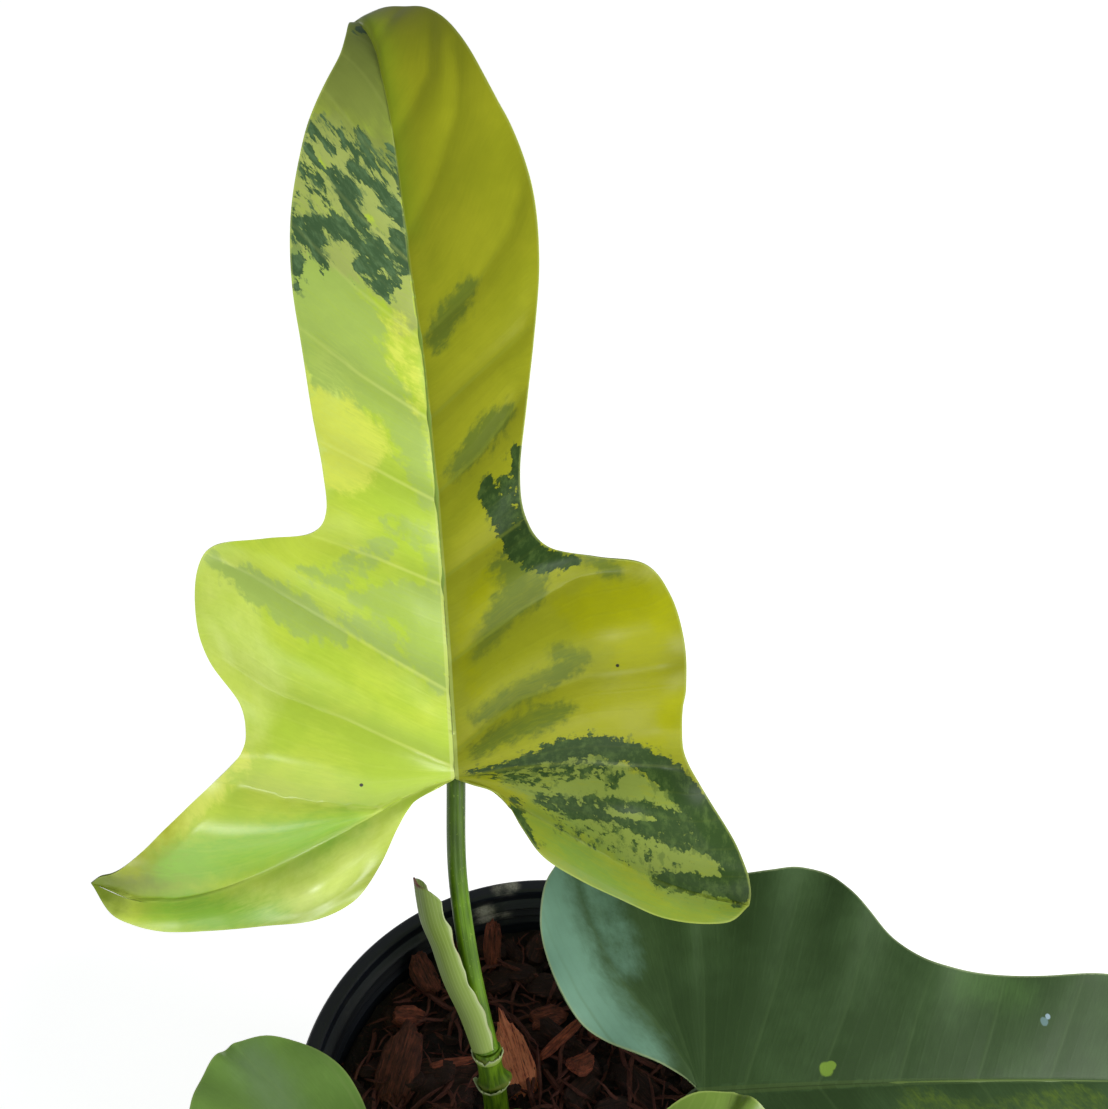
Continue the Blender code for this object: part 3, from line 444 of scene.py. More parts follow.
LEAVES = {
    "main": dict(
        base=mm(-24.2, 35.9, 234), heading=Vector((-0.035, 0.454, 0.891)),
        facing=Vector((0, -0.891, 0.454)), halves=(MAIN_LEFT, MAIN_RIGHT),
        veins=(MAIN_LEFT_VEINS, MAIN_RIGHT_VEINS), rows=FINE, size=1.0,
        arch=8.5, curl=98, curl_from=0.786, sway=-3.5, sway_tip=-38, roll_tip=15.5,
        lobes_back=-10, fold=20, fold_tip=14.5, spread=3, lobe_fold=22, wave=0.5 * MM,
        stalk=(mm(-16.2, -2.2, 157.8), mm(-20.6, 9.6, 181), mm(-24, 23.2, 208)),
        stalk_radius=2.7 * MM, stalk_skin="light", quilt=0.065, groove=1,
        drift=((75, 0), (115, 0.8), (140, 2.3), (165, 3.2), (190, 4.9), (210, 4.8), (224, 2.4)),
        tip_crest=(175, 28, 209, 2.9, 3.9, 1.7), swells=MAIN_SWELLS,
        marks=MAIN_MARKS, inks=MAIN_INKS, specks=MAIN_SPECKS, slot="leaf_variegated"),
    "right": dict(
        OLDER, base=mm(44.5, -19, 164), heading=Vector((1, 0.02, 0.10)),
        facing=Vector((0, -0.25, 0.97)), size=1.0,
        arch=34, curl=18, sway=0, sway_tip=-8, lobes_back=15, spread=2, lobe_fold=16,
        wave=1.2 * MM, stalk=(mm(-13.3, -11.4, 131), mm(3, -19.5, 136.5), mm(19, -31.5, 147),
                              mm(34, -25.5, 157)),
        stalk_radius=2.6 * MM, quilt=0.006, groove=0.35,
        marks=RIGHT_MARKS, inks=RIGHT_INKS, specks=RIGHT_SPECKS, slot="leaf_dark"),
    "left": dict(
        OLDER, base=mm(-44.5, -53.5, 154.5), heading=Vector((-0.30, -0.95, 0.14)),
        facing=Vector((0.12, -0.05, 0.99)),
        arch=42, curl=22, sway=10, sway_tip=12, lobes_back=8, fold=13,
        stalk=(mm(-13, -13, 127.4), mm(-26, -22, 139), mm(-36, -36, 148), mm(-42, -47.5, 151.5)),
        marks=LEFT_MARKS, inks=LEFT_INKS, slot="leaf_green"),
    "front": dict(
        OLDER, base=mm(21.8, -100, 193), heading=Vector((0.60, -0.80, 0.06)),
        facing=Vector((0.02, -0.14, 0.98)),
        arch=46, curl=24, sway=-5, sway_tip=-10, lobes_back=4,
        stalk=(mm(-12, -17.6, 119.6), mm(-11.5, -23.4, 134), mm(-9.6, -25, 157),
               mm(-3, -36.5, 178), mm(10, -72, 193.5)),
        marks=FRONT_MARKS, inks=FRONT_INKS, slot="leaf_lime"),
}
MIDRIB_END = 0.72            # where the stalk's rib ends beneath the blade, as a share
STALK_ROWS = 60
MIDRIB_ROWS = 70
STALK_SIDES = 20
STEM_SIDES = 40


def smooth_points(control, places):
    """Points on a Catmull-Rom curve through the control rows, at places counted in rows."""
    rows = np.array([list(row) for row in control], float)
    padded = np.vstack([2 * rows[0] - rows[1], rows, 2 * rows[-1] - rows[-2]])
    first = np.clip(places.astype(int), 0, len(rows) - 2)
    t = (places - first)[:, None]
    p0, p1, p2, p3 = (padded[first + k] for k in range(4))
    return 0.5 * (2 * p1 + (p2 - p0) * t + (2 * p0 - 5 * p1 + 4 * p2 - p3) * t**2
                  + (3 * p1 - p0 - 3 * p2 + p3) * t**3)


def smooth_path(control, count):
    """A number of points at even steps of the curve through the control rows."""
    return smooth_points(control, np.linspace(0, len(control) - 1, count))


def smooth_row(values, count):
    """The same for single numbers."""
    return smooth_path([(value,) for value in values], count)[:, 0]


def ease(share):
    """A soft step from 0 to 1."""
    share = np.clip(share, 0, 1)
    return share * share * (3 - 2 * share)


class Leaf:
    """The form of one leaf: maps flat places on the blade to points in space.

    along runs up the midrib from the stalk, across to the right of it, seen from above.
    """

    TABLE = 500              # places on the middle line
    LOW, HIGH = -0.06, 0.24  # its ends: metres along, past the lobes and past the tip

    def __init__(self, spec):
        self.spec = spec
        self.length = spec["halves"][0][0][0][0] * MM * spec["size"]
        self.scale = MM * spec["size"]
        self.lobe_veins = [np.array(half[1])[:, :2] * MM * spec["size"] for half in spec["halves"]]
        self.ahead = spec["heading"].normalized()
        facing = spec["facing"]
        self.up = (facing - self.ahead * facing.dot(self.ahead)).normalized()
        self.side = self.ahead.cross(self.up)
        self.table = np.linspace(self.LOW, self.HIGH, self.TABLE)
        ahead = self.directions(self.table)[0]
        step = self.table[1] - self.table[0]
        self.line = np.vstack([np.zeros(3), np.cumsum((ahead[1:] + ahead[:-1]) / 2 * step, axis=0)])
        self.line = self.line - self.middle([0])[0] + np.array(spec["base"])

    def middle(self, along):
        """Points in space on the blade's middle line."""
        return np.stack([np.interp(along, self.table, self.line[:, k]) for k in range(3)], 1)

    def drift(self, along):
        """How far the midrib lies to the left of the blade's middle line."""
        places, shifts = np.array(self.spec["drift"]).T * MM
        return np.interp(along, places, shifts)

    def directions(self, along):
        """Unit vectors ahead, sideways and up off the blade at places along the midrib."""
        spec = self.spec
        ratio = np.clip(along / self.length, 0, None)
        start = spec["curl_from"]
        tip = np.clip((ratio - start) / (1 - start), 0, None) ** 1.5
        pitch = np.radians(spec["arch"] * ratio + spec["curl"] * tip
                           + spec["lobes_back"] * np.clip(-along, 0, None) / LOBE_LENGTH)[:, None]
        yaw = np.radians(spec["sway"] * ratio + spec["sway_tip"] * tip)[:, None]
        roll = np.radians(spec["roll_tip"] * np.clip(ratio, 0, 1) ** 2)[:, None]
        d, s, n = (np.array(v) for v in (self.ahead, self.side, self.up))
        level = np.cos(pitch) * d - np.sin(pitch) * n
        up = np.cos(pitch) * n + np.sin(pitch) * d
        ahead = np.cos(yaw) * level + np.sin(yaw) * s
        side = np.cos(yaw) * s - np.sin(yaw) * level
        return (ahead, np.cos(roll) * side + np.sin(roll) * up,
                np.cos(roll) * up - np.sin(roll) * side)

    def rise(self, along, across, right):
        """Height of the surface over the midrib plane: valleys at midrib and lobe vein."""
        spec = self.spec
        ratio = np.clip(along / self.length, 0, 1)
        fold = np.tan(np.radians(spec["fold"] + (spec["fold_tip"] - spec["fold"]) * ratio**2))
        rise = FOLD_REACH * fold * (1 - np.exp(-across / FOLD_REACH))
        rise += math.tan(math.radians(spec["spread"])) * across
        _, past = vein_distance(along, across, self.lobe_veins[right])
        lobe_fold = math.tan(math.radians(spec["lobe_fold"]))
        rise += LOBE_FOLD_REACH * lobe_fold * (1 - np.exp(-past / LOBE_FOLD_REACH))
        if "tip_crest" in spec:
            start, soon, end, height, fall, left_fall = spec["tip_crest"]
            share = ease((along / MM - start) / soon)
            fade = np.exp(-across / CREST_REACH)
            if right:
                share *= 1 - ease((along / MM - end) / CREST_END)
                crest = height * (1 - np.exp(-across / CREST_FLANK)) * fade - fall * (1 - fade)
            else:
                crest = -left_fall * (1 - np.exp(-across / LEFT_FALL_REACH))
            rise += share * MM * crest
        return rise

    def points(self, along, across, right, wave):
        """Points in space for flat places on one half of the blade."""
        _, side, up = self.directions(along)
        reach = across * math.cos(math.radians(self.spec["spread"])) * WAY[right]
        reach -= self.drift(along)
        lift = self.rise(along, across, right) + wave
        return self.middle(along) + side * reach[:, None] + up * lift[:, None]

    def ribs(self, right, midrib_rows, lobe_rows):
        """Roots, edges and wave places of the ribs above and below the lobe's big vein."""
        midrib, lobe = (np.array(ribs, float) * self.scale for ribs in self.spec["halves"][right])
        ribs = np.vstack([np.insert(midrib, 1, 0, axis=1), lobe[:, :4]])
        turn = len(midrib)
        stations = np.linspace(0, len(lobe) - 1, lobe_rows + 1)
        places = np.concatenate([np.linspace(0, turn, midrib_rows + 1)[:-1], turn + stations])
        upper = smooth_points(ribs, places)
        upper[:midrib_rows, 1] = 0
        upper[:, 3] = np.maximum(upper[:, 3] + WAY[right] * self.drift(upper[:, 2]), 0)
        lower = smooth_points(lobe[:, 4:], stations)
        turns = 2 * math.pi * WAVE_COUNT * places / places[-1] + WAVE_START[right]
        back = 2 * turns[-1] - turns[-len(stations):]
        return ((upper[:, :2], upper[:, 2:], turns),
                (upper[-len(stations):, :2], lower, back))


def vein_distance(along, across, line):
    """Distance to a vein, and the distance past it, zero off the side that faces the stalk."""
    best = np.full(along.shape, 1e9)
    beyond = np.zeros(along.shape)
    for (a0, c0), (a1, c1) in zip(line, line[1:]):
        da, dc = a1 - a0, c1 - c0
        t = np.clip(((along - a0) * da + (across - c0) * dc) / (da * da + dc * dc), 0, 1)
        gap = np.hypot(along - a0 - t * da, across - c0 - t * dc)
        beyond = np.where(gap < best, (along - a0) * dc - (across - c0) * da, beyond)
        best = np.minimum(best, gap)
    return best, np.where(beyond < 0, best, 0)


def vein_field(along, across, right, leaf):
    """A number that runs from vein to vein, whole on each one, and the room between them."""
    lines = []
    for vein in leaf.spec["veins"][right]:
        line = np.array(vein, float) * leaf.scale
        line[:, 1] += (WAY[right] * leaf.drift(line[:, 0])
                       * np.clip(line[:, 1] / DRIFT_REACH, 0, 1))
        lines.append(line)
    lines.append(leaf.lobe_veins[right])
    reach, past = np.array([vein_distance(along, across, line) for line in lines]).swapaxes(0, 1)
    first = np.clip(np.sum(past > 0, axis=0) - 1, 0, len(lines) - 2)[None]
    above, below = (np.take_along_axis(reach, first + k, 0)[0] for k in (0, 1))
    room = above + below + 1e-6
    below_lobe = past[-1] > 0
    number = np.where(below_lobe, len(lines) - 1 + past[-1] / LOBE_VEIN_ROOM,
                      first[0] + above / room)
    return number, np.where(below_lobe, LOBE_VEIN_ROOM, room)


def mark_depth(along, across, chains):
    """How far inside the chains of a marking each place lies, in millimetres."""
    depth = np.full(along.shape, FAR_OUTSIDE)
    for solid, *chain in chains:
        for (a0, c0, r0), (a1, c1, r1) in zip(chain, chain[1:]):
            da, dc = a1 - a0, c1 - c0
            x, y = along - a0, across - c0
            t = np.clip((x * da + y * dc) / (da * da + dc * dc), 0, 1)
            inside = r0 + (r1 - r0) * t - np.hypot(x - t * da, y - t * dc)
            if solid == HOLE:
                depth = np.minimum(depth, -inside)
            else:
                depth = np.maximum(depth, np.minimum(inside, solid))
    return depth


def flat_grid(leaf, right):
    """Flat places of a half blade, and their share of the way from root to edge."""
    midrib_rows, lobe_rows, columns = leaf.spec["rows"]
    share = np.linspace(0, 1, columns + 1)[:, None]
    grids = []
    for roots, edges, turns in leaf.ribs(right, midrib_rows, lobe_rows):
        along = roots[:, 0] + (edges[:, 0] - roots[:, 0]) * share
        across = np.abs(roots[:, 1] + (edges[:, 1] - roots[:, 1]) * share)
        grids.append((along, across, share, np.hypot(*(edges - roots).T), turns))
    return grids


def blade_relief(leaf, right, a, c, edge, number, room, width):
    """Height of the fine relief: grooves on the veins, swelling between them, the midrib."""
    spec = leaf.spec
    off_vein = np.abs(number - np.round(number)) * room
    relief = (-VEIN_DEPTH * spec["groove"] * np.exp(-(off_vein / VEIN_WIDTH)**2)
              * np.clip(edge / GROOVE_END, 0, 1))
    settle = np.clip(c / QUILT_START, 0, 1) * np.clip(edge / QUILT_END, 0, 1)
    settle *= 1 - QUILT_LOSS * np.clip(a / QUILT_FALL - 1.5, 0, 1)
    relief += spec["quilt"] * room * settle * (np.sin(np.pi * (number % 1))**2 - 0.5)
    for half, high_along, high_across, height, reach in spec["swells"]:
        if half == right:
            gap = np.hypot(a / leaf.scale - high_along, c / leaf.scale - high_across)
            relief += height * leaf.scale * np.exp(-(gap / reach)**2)
    return relief - MIDRIB_DEPTH * np.exp(-(c / (MIDRIB_GROOVE * width))**2) * (a > 0)


def blade_surface(name, leaf):
    """The blade's middle surface with relief, and what its paint needs at every point."""
    points, faces, values = [], [], {}
    start = 0
    for right in (LEFT, RIGHT):
        for below, (along, across, share, length, turns) in enumerate(flat_grid(leaf, right)):
            edge = ((1 - share) * length).ravel()
            waves = leaf.spec["wave"] * np.minimum(1, length / WAVE_FADE) * share**2 * np.sin(turns)
            a, c = along.ravel(), across.ravel()
            number, room = vein_field(a, c, right, leaf)
            width = MIDRIB_WIDTH * (1.1 - np.clip(a / leaf.length, 0, 1))
            relief = blade_relief(leaf, right, a, c, edge, number, room, width)
            points.append(leaf.points(a, c, right, waves.ravel() + relief))
            here = {"vein": number, "room": room / MM, "along": a / MM, "across": c / MM,
                    "side": np.full(a.shape, float(WAY[right])), "edge": edge / MM,
                    "midrib": np.where(a > -1 * MM, c / width, OFF_MIDRIB)}
            from_middle = c - leaf.drift(a) * WAY[right]
            for field in FIELDS:
                if field in leaf.spec["inks"]:
                    here[field] = mark_depth(a / leaf.scale, from_middle / leaf.scale,
                                             leaf.spec["marks"].get((field, right), ()))
            for key, value in here.items():
                values.setdefault(key, []).append(value)
            index = np.arange(a.size).reshape(along.shape) + start
            start += a.size
            quads = np.stack([index[:-1, :-1], index[:-1, 1:], index[1:, 1:], index[1:, :-1]], -1)
            quads = quads.reshape(-1, 4)
            faces.append(quads if right != below else quads[:, ::-1])
    mesh = bpy.data.meshes.new(name)
    mesh.from_pydata(np.vstack(points).tolist(), [], np.vstack(faces).tolist())
    for key, value in values.items():
        mesh.attributes.new(key, "FLOAT", "POINT").data.foreach_set("value", np.concatenate(value))
    return mesh


def mesh_from(bm, name):
    """End the building of a mesh."""
    mesh = bpy.data.meshes.new(name)
    bm.to_mesh(mesh)
    bm.free()
    return mesh


def finish_mesh(obj):
    """Apply the object's modifiers and leave a plain mesh."""
    mesh = bpy.data.meshes.new_from_object(obj.evaluated_get(bpy.context.evaluated_depsgraph_get()))
    obj.modifiers.clear()
    obj.data = mesh


def add_object(name, mesh, *materials):
    obj = bpy.data.objects.new(name, mesh)
    bpy.context.scene.collection.objects.link(obj)
    for material in materials:
        mesh.materials.append(material)
    return obj


def dress(obj, slot, *nodes):
    """Hand a finished piece over: it rides on the one body and stands for CAD nodes."""
    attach(obj, "root")
    if nodes:
        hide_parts(*nodes)


def thicken(obj, thickness, back=0):
    """Give a thin skin its thickness; back is the material of its other face."""
    wall = obj.modifiers.new("thickness", "SOLIDIFY")
    wall.thickness = thickness
    wall.offset = 0
    wall.material_offset = back
    finish_mesh(obj)
    obj.data.shade_smooth()


def join_rows(bm, rows, closed=True, flip=False):
    """Faces between rows of points; a closed row joins its end to its start."""
    for lower, upper in zip(rows, rows[1:]):
        for j in range(len(lower) if closed else len(lower) - 1):
            after = (j + 1) % len(lower)
            face = (lower[j], lower[after], upper[after], upper[j])
            bm.faces.new((face[0], *face[:0:-1]) if flip else face)


def make_blade(name, leaf):
    """A blade with its veins, its two faces painted apart."""
    spec = leaf.spec
    front = leaf_paint(name + " leaf face", spec["inks"], False, spec["specks"])
    back = leaf_paint(name + " leaf back", spec["inks"], True, ())
    mesh = blade_surface("leaf_" + name, leaf)
    bm = bmesh.new()
    bm.from_mesh(mesh)
    bmesh.ops.remove_doubles(bm, verts=bm.verts, dist=SAME_PLACE)
    bmesh.ops.dissolve_degenerate(bm, edges=bm.edges, dist=SAME_PLACE)
    bm.to_mesh(mesh)
    bm.free()
    blade = add_object("leaf_" + name, mesh, front, back)
    thicken(blade, BLADE_THICKNESS, 1)
    blade.data.set_sharp_from_angle(angle=math.radians(50))
    dress(blade, spec["slot"], "blade_" + name)


def sweep(name, path, radii, sides, heights, profile=lambda k, turn: 1):
    """A closed tube with a fine mesh; heights are given row by row."""
    path = [Vector(point) for point in path]
    bm = bmesh.new()
    height_layer, turn_layer = (bm.verts.layers.float.new(key) for key in ("height", "turn"))
    rows = []
    normal = (path[1] - path[0]).normalized().orthogonal().normalized()
    for k, (place, radius) in enumerate(zip(path, radii)):
        ahead = (path[min(k + 1, len(path) - 1)] - path[max(k - 1, 0)]).normalized()
        normal = (normal - ahead * normal.dot(ahead)).normalized()
        side = ahead.cross(normal)
        row = []
        for j in range(sides):
            turn = 2 * math.pi * j / sides
            vert = bm.verts.new(place + (normal * math.cos(turn) + side * math.sin(turn))
                                * radius * profile(k, turn))
            vert[turn_layer] = abs(j / sides * 2 - 1)
            vert[height_layer] = heights[k]
            row.append(vert)
        rows.append(row)
    join_rows(bm, rows)
    for ring, place in ((rows[0], path[0]), (rows[-1], path[-1])):
        middle = bm.verts.new(place)
        middle[height_layer] = ring[0][height_layer]
        for j in range(sides):
            bm.faces.new((ring[j], ring[(j + 1) % sides], middle))
    bmesh.ops.recalc_face_normals(bm, faces=bm.faces)
    mesh = mesh_from(bm, name)
    mesh.shade_smooth()
    mesh.set_sharp_from_angle(angle=math.radians(60))
    return mesh


def stalk_line(leaf, steps, under_steps):
    """Points, radii and heights of a stalk: up from the stem, then on under the blade."""
    spec = leaf.spec
    full = spec["stalk_radius"]
    # Beneath the blade the rib narrows to about a quarter of the stalk
    under = np.linspace(0.0, MIDRIB_END * leaf.length, under_steps)
    taper = full * (0.86 - 0.62 * under / under[-1])
    taper[0] = full * 0.95
    _, side, up = leaf.directions(under)
    centre = leaf.middle(under) - side * leaf.drift(under)[:, None]
    # How far the rib's middle lies under the blade, in radii
    sunk = smooth_row((1.35, 0.95, 0.72, 0.6, 0.55, 0.5), under_steps)
    ridge = centre - up * (taper * sunk + BLADE_THICKNESS / 2)[:, None]
    path = smooth_path([np.array(p) for p in spec["stalk"]] + [ridge[0]], steps)
    points = np.vstack([path[:-1], ridge])
    first = np.linspace(0, 1, len(path))[:-1]
    # The foot is a quarter thicker, down to the plain stalk within 5/13 of its length
    radii = np.concatenate([full * (1.25 - 0.25 * np.clip(first * 13 / 5, 0, 1)), taper])
    height = np.concatenate([first, np.linspace(1, 2, under_steps)])
    return points, radii, height


def make_stalk(name, leaf, paint):
    points, radii, heights = stalk_line(leaf, STALK_ROWS, MIDRIB_ROWS)
    mesh = sweep("stalk_" + name, points, radii, STALK_SIDES, heights)
    dress(add_object("stalk_" + name, mesh, paint), "petiole", "petiole_" + name)


# Stem rings: place along the stem, how far they stand out, how sharp they are
STEM_RINGS = ((0.50, 0.10, 0.012), (0.64, 0.12, 0.010), (0.83, 0.20, 0.012), (0.975, 0.15, 0.014))
# Old leaf scars: place along the stem, which way they face, how far they stand out
STEM_SCARS = ((0.83, 5.6, 0.42), (0.64, 3.0, 0.26))
SCAR_LENGTH = 0.035
STEM_WAIST = 0.94            # the radius between the rings, as a share of the stem's


def make_stem(paint):
    places = np.linspace(0, 1, STEM_STEPS)

    def profile(k, turn):
        swell = 1
        for ring, high, sharp in STEM_RINGS:
            knob = noise.noise(Vector((1.6 * math.cos(turn), 1.6 * math.sin(turn), 9 * ring)))
            gap = places[k] - ring - 0.02 * knob
            swell += high * (1 + knob) * math.exp(-abs(gap) / sharp)
        for ring, way, high in STEM_SCARS:
            facing = max(0, math.cos(turn - way))
            swell += high * facing**3 * math.exp(-((places[k] - ring) / SCAR_LENGTH)**2)
        return swell

    mesh = sweep("stem_green", smooth_path(STEM_PATH, STEM_STEPS),
                 np.full(STEM_STEPS, STEM_RADIUS * STEM_WAIST), STEM_SIDES, places, profile)
    dress(add_object("stem_green", mesh, paint), "stem", "stem")


# Ragged remains of older sheaths: place along the stem, height in millimetres, how far the
# upper edge stands away, as a share of the stem's radius
TORN_SCALES = ((0.955, 2.4, 0.14), (0.80, 2.0, 0.26))
SCALE_COLUMNS = 90
SCALE_ROWS = 7
SCALE_THICKNESS = 0.4 * MM
SCALE_HEIGHT = 0.3           # the height on the sheath whose colours they have


def scale_rows(ring, tall, flare):
    """Rows of a short dried collar with a jagged upper edge, left on a ring of the stem."""
    path = smooth_path(STEM_PATH, STEM_STEPS)
    k = round(ring * (STEM_STEPS - 1))
    foot, ahead = Vector(path[k]), Vector(path[k + 1] - path[k - 1]).normalized()
    out = ahead.orthogonal().normalized()
    side = ahead.cross(out)
    for share in np.linspace(0, 1, SCALE_ROWS):
        row = []
        for column in range(SCALE_COLUMNS):
            turn = 2 * math.pi * column / SCALE_COLUMNS
            way = out * math.cos(turn) + side * math.sin(turn)
            jag = noise.noise(way * 1.8 + Vector((0, 0, 31 * ring)))
            bite = noise.noise(way * 8 + Vector((0, 0, 31 * ring)))
            top = tall * MM * (0.7 + 0.6 * jag + 0.5 * bite)
            away = 1 + flare * share**1.6 * (1 + jag + 0.4 * bite)
            row.append((foot + way * STEM_RADIUS * away + ahead * top * share,
                        SCALE_HEIGHT, 0.8 + 0.18 * share))
        yield row


# Sheath
SHEATH_PATH = (mm(-16.6, -1.7, 159.2), mm(-19.6, 3.6, 170), mm(-23.8, 8.3, 181),
               mm(-26.6, 12.3, 191.5), mm(-28.9, 15.6, 201), mm(-31.2, 20, 213.5))
SHEATH_RADII = (4.1, 4.7, 4.9, 5.0, 5.7, 4.7)       # millimetres
SHEATH_HOOD = 0.08            # how much lower the margins end than the back, as a share
SHEATH_POINT = 0.03           # how far the middle of its tip stands up, as a share
SHEATH_MARGIN = 0.72          # where the frilled margins start, from the middle out
SHEATH_FRILL = 1.2 * MM
SHEATH_KEEL = 0.3 * MM
SHEATH_ARC = 200              # degrees
SHEATH_OPENS_TO = Vector((0.85, 0.50, 0))
SHEATH_ROWS = 110
SHEATH_COLUMNS = 48
SHEATH_THICKNESS = 0.45 * MM


def sheath_rows():
    """Rows of a folded bract: its free margins are thin, pale and gently frilled."""
    path = smooth_path(SHEATH_PATH, SHEATH_ROWS)
    radii = smooth_row([radius * MM for radius in SHEATH_RADII], SHEATH_ROWS)
    last = SHEATH_ROWS - 1
    for k in range(SHEATH_ROWS):
        row = []
        for j in range(SHEATH_COLUMNS):
            across = 2 * j / (SHEATH_COLUMNS - 1) - 1
            point = SHEATH_POINT * math.exp(-(across / 0.10)**2)
            crown = 1 - SHEATH_POINT + point - SHEATH_HOOD * abs(across)**2.8
            height = k / last * crown
            at = height * last
            below, above = path[int(at)], path[min(int(at) + 1, last)]
            place = Vector(below + (above - below) * (at % 1))
            ahead = Vector(path[min(int(at) + 2, last)] - path[max(int(at) - 1, 0)]).normalized()
            mouth = (SHEATH_OPENS_TO - ahead * SHEATH_OPENS_TO.dot(ahead)).normalized()
            side = ahead.cross(mouth)
            margin = max(0, abs(across) - SHEATH_MARGIN) / (1 - SHEATH_MARGIN)
            ripple = noise.noise(Vector((height * 11, 3 * across, 0.5)))
            frill = SHEATH_FRILL * margin**2 * ripple
            keel = SHEATH_KEEL * math.exp(-(across / 0.12)**2) * min(1, 3 * height)
            angle = math.pi + math.radians(SHEATH_ARC) / 2 * (1 - 0.15 * height) * across
            offset = mouth * math.cos(angle) + side * math.sin(angle)
            row.append((place + offset * (radii[int(at)] + keel) + (mouth + side * 0.5) * frill,
                        k / last, across))
        yield row


def make_bract(name, sheets, closed, thickness, paint, *nodes):
    """Thin skins from rows of points, each with its place, its height and across."""
    bm = bmesh.new()
    layers = [bm.verts.layers.float.new(key) for key in ("height", "across")]
    for sheet in sheets:
        rows = []
        for line in sheet:
            rows.append([bm.verts.new(place) for place, _, _ in line])
            for vert, (_, *values) in zip(rows[-1], line):
                for layer, value in zip(layers, values):
                    vert[layer] = value
        join_rows(bm, rows, closed)
    bract = add_object(name, mesh_from(bm, name), paint)
    thicken(bract, thickness)
    dress(bract, "sheath", *nodes)


def outer_wall(height):
    """Radius of the pot's plain outer wall at a height."""
    top = RIM_RADIUS - LIP_WIDTH + WALL - SKIRT_STEP
    return FOOT_RADIUS + (top - FOOT_RADIUS) * height / POT_HEIGHT


def inner_wall(height):
    return outer_wall(height) - WALL


def pot_profile():
    """Half section of the pot: down the outside, across the floor, up the inside."""
    lip_foot = POT_HEIGHT - LIP_DEPTH
    skirt_foot = POT_HEIGHT - SKIRT_DEPTH
    inside_lip = RIM_RADIUS - LIP_WIDTH
    points = [(inside_lip + 1.2 * MM, POT_HEIGHT), (RIM_RADIUS - 2.2 * MM, POT_HEIGHT)]
    for k in range(1, 6):
        turn = math.radians(18 * k)
        points.append((RIM_RADIUS - LIP_ROUNDING * (1 - math.sin(turn)),
                       POT_HEIGHT - LIP_ROUNDING * (1 - math.cos(turn))))
    points += [
        (RIM_RADIUS, lip_foot + 0.8 * MM),
        (RIM_RADIUS - 0.2 * MM, lip_foot + 0.25 * MM),
        (RIM_RADIUS - 0.7 * MM, lip_foot),
        (outer_wall(lip_foot) + SKIRT_STEP + 0.4 * MM, lip_foot),
        (outer_wall(lip_foot) + SKIRT_STEP, lip_foot - 0.4 * MM),
        (outer_wall(skirt_foot) + SKIRT_STEP, skirt_foot + 0.3 * MM),
        (outer_wall(skirt_foot) + SKIRT_STEP - 0.25 * MM, skirt_foot),
        (outer_wall(skirt_foot - 1.5 * MM), skirt_foot - 1.5 * MM),
    ]
    for k in range(11):
        turn = math.radians(9 * k)
        points.append((outer_wall(FOOT_ROUNDING) - FOOT_ROUNDING * (1 - math.cos(turn)),
                       FOOT_ROUNDING * (1 - math.sin(turn))))
    points += [(0, 0), (0, FLOOR), (inner_wall(FLOOR) - FLOOR_ROUNDING, FLOOR),
               (inner_wall(FLOOR + FLOOR_ROUNDING), FLOOR + FLOOR_ROUNDING)]
    for level in reversed(RIDGE_LEVELS):
        wall = inner_wall(level)
        points += [(inner_wall(level - 1.2 * MM), level - 1.2 * MM),
                   (wall - 0.7 * RIDGE_HEIGHT, level - 0.55 * MM),
                   (wall - RIDGE_HEIGHT, level - 0.2 * MM), (wall - RIDGE_HEIGHT, level + 0.2 * MM),
                   (wall - 0.8 * RIDGE_HEIGHT, level + 0.45 * MM)]
    points += [(inner_wall(lip_foot), lip_foot - 0.4 * MM), (inside_lip, lip_foot + 0.4 * MM),
               (inside_lip, POT_HEIGHT - 1.4 * MM), (inside_lip + 0.15 * MM, POT_HEIGHT - 0.6 * MM),
               (inside_lip + 0.6 * MM, POT_HEIGHT - 0.15 * MM)]
    return points


def make_pot(paint):
    bm = bmesh.new()
    verts = [bm.verts.new((radius, 0, height)) for radius, height in pot_profile()]
    for one, other in zip(verts, verts[1:] + verts[:1]):
        if max(one.co.x, other.co.x) > 0:
            bm.edges.new((one, other))
    pot = add_object("nursery_pot", mesh_from(bm, "nursery_pot"), paint)
    screw = pot.modifiers.new("turn", "SCREW")
    screw.steps = screw.render_steps = POT_STEPS
    screw.use_merge_vertices = True
    screw.merge_threshold = 0.005 * MM
    finish_mesh(pot)
    drills = []
    for k in range(DRAIN_COUNT):
        turn = 2 * math.pi * (k + 0.4) / DRAIN_COUNT
        bpy.ops.mesh.primitive_cylinder_add(
            vertices=32, radius=DRAIN_RADIUS, depth=4 * FLOOR,
            location=(DRAIN_RING * math.cos(turn), DRAIN_RING * math.sin(turn), FLOOR / 2))
        drills.append(bpy.context.object)
        hole = pot.modifiers.new("drain_%d" % k, "BOOLEAN")
        hole.operation = "DIFFERENCE"
        hole.object = drills[-1]
    bpy.context.view_layer.update()
    finish_mesh(pot)
    for drill in drills:
        bpy.data.objects.remove(drill)
    bm = bmesh.new()
    bm.from_mesh(pot.data)
    bmesh.ops.recalc_face_normals(bm, faces=bm.faces)
    bm.to_mesh(pot.data)
    bm.free()
    pot.data.shade_smooth()
    pot.data.set_sharp_from_angle(angle=math.radians(32))
    dress(pot, "pot", "pot")


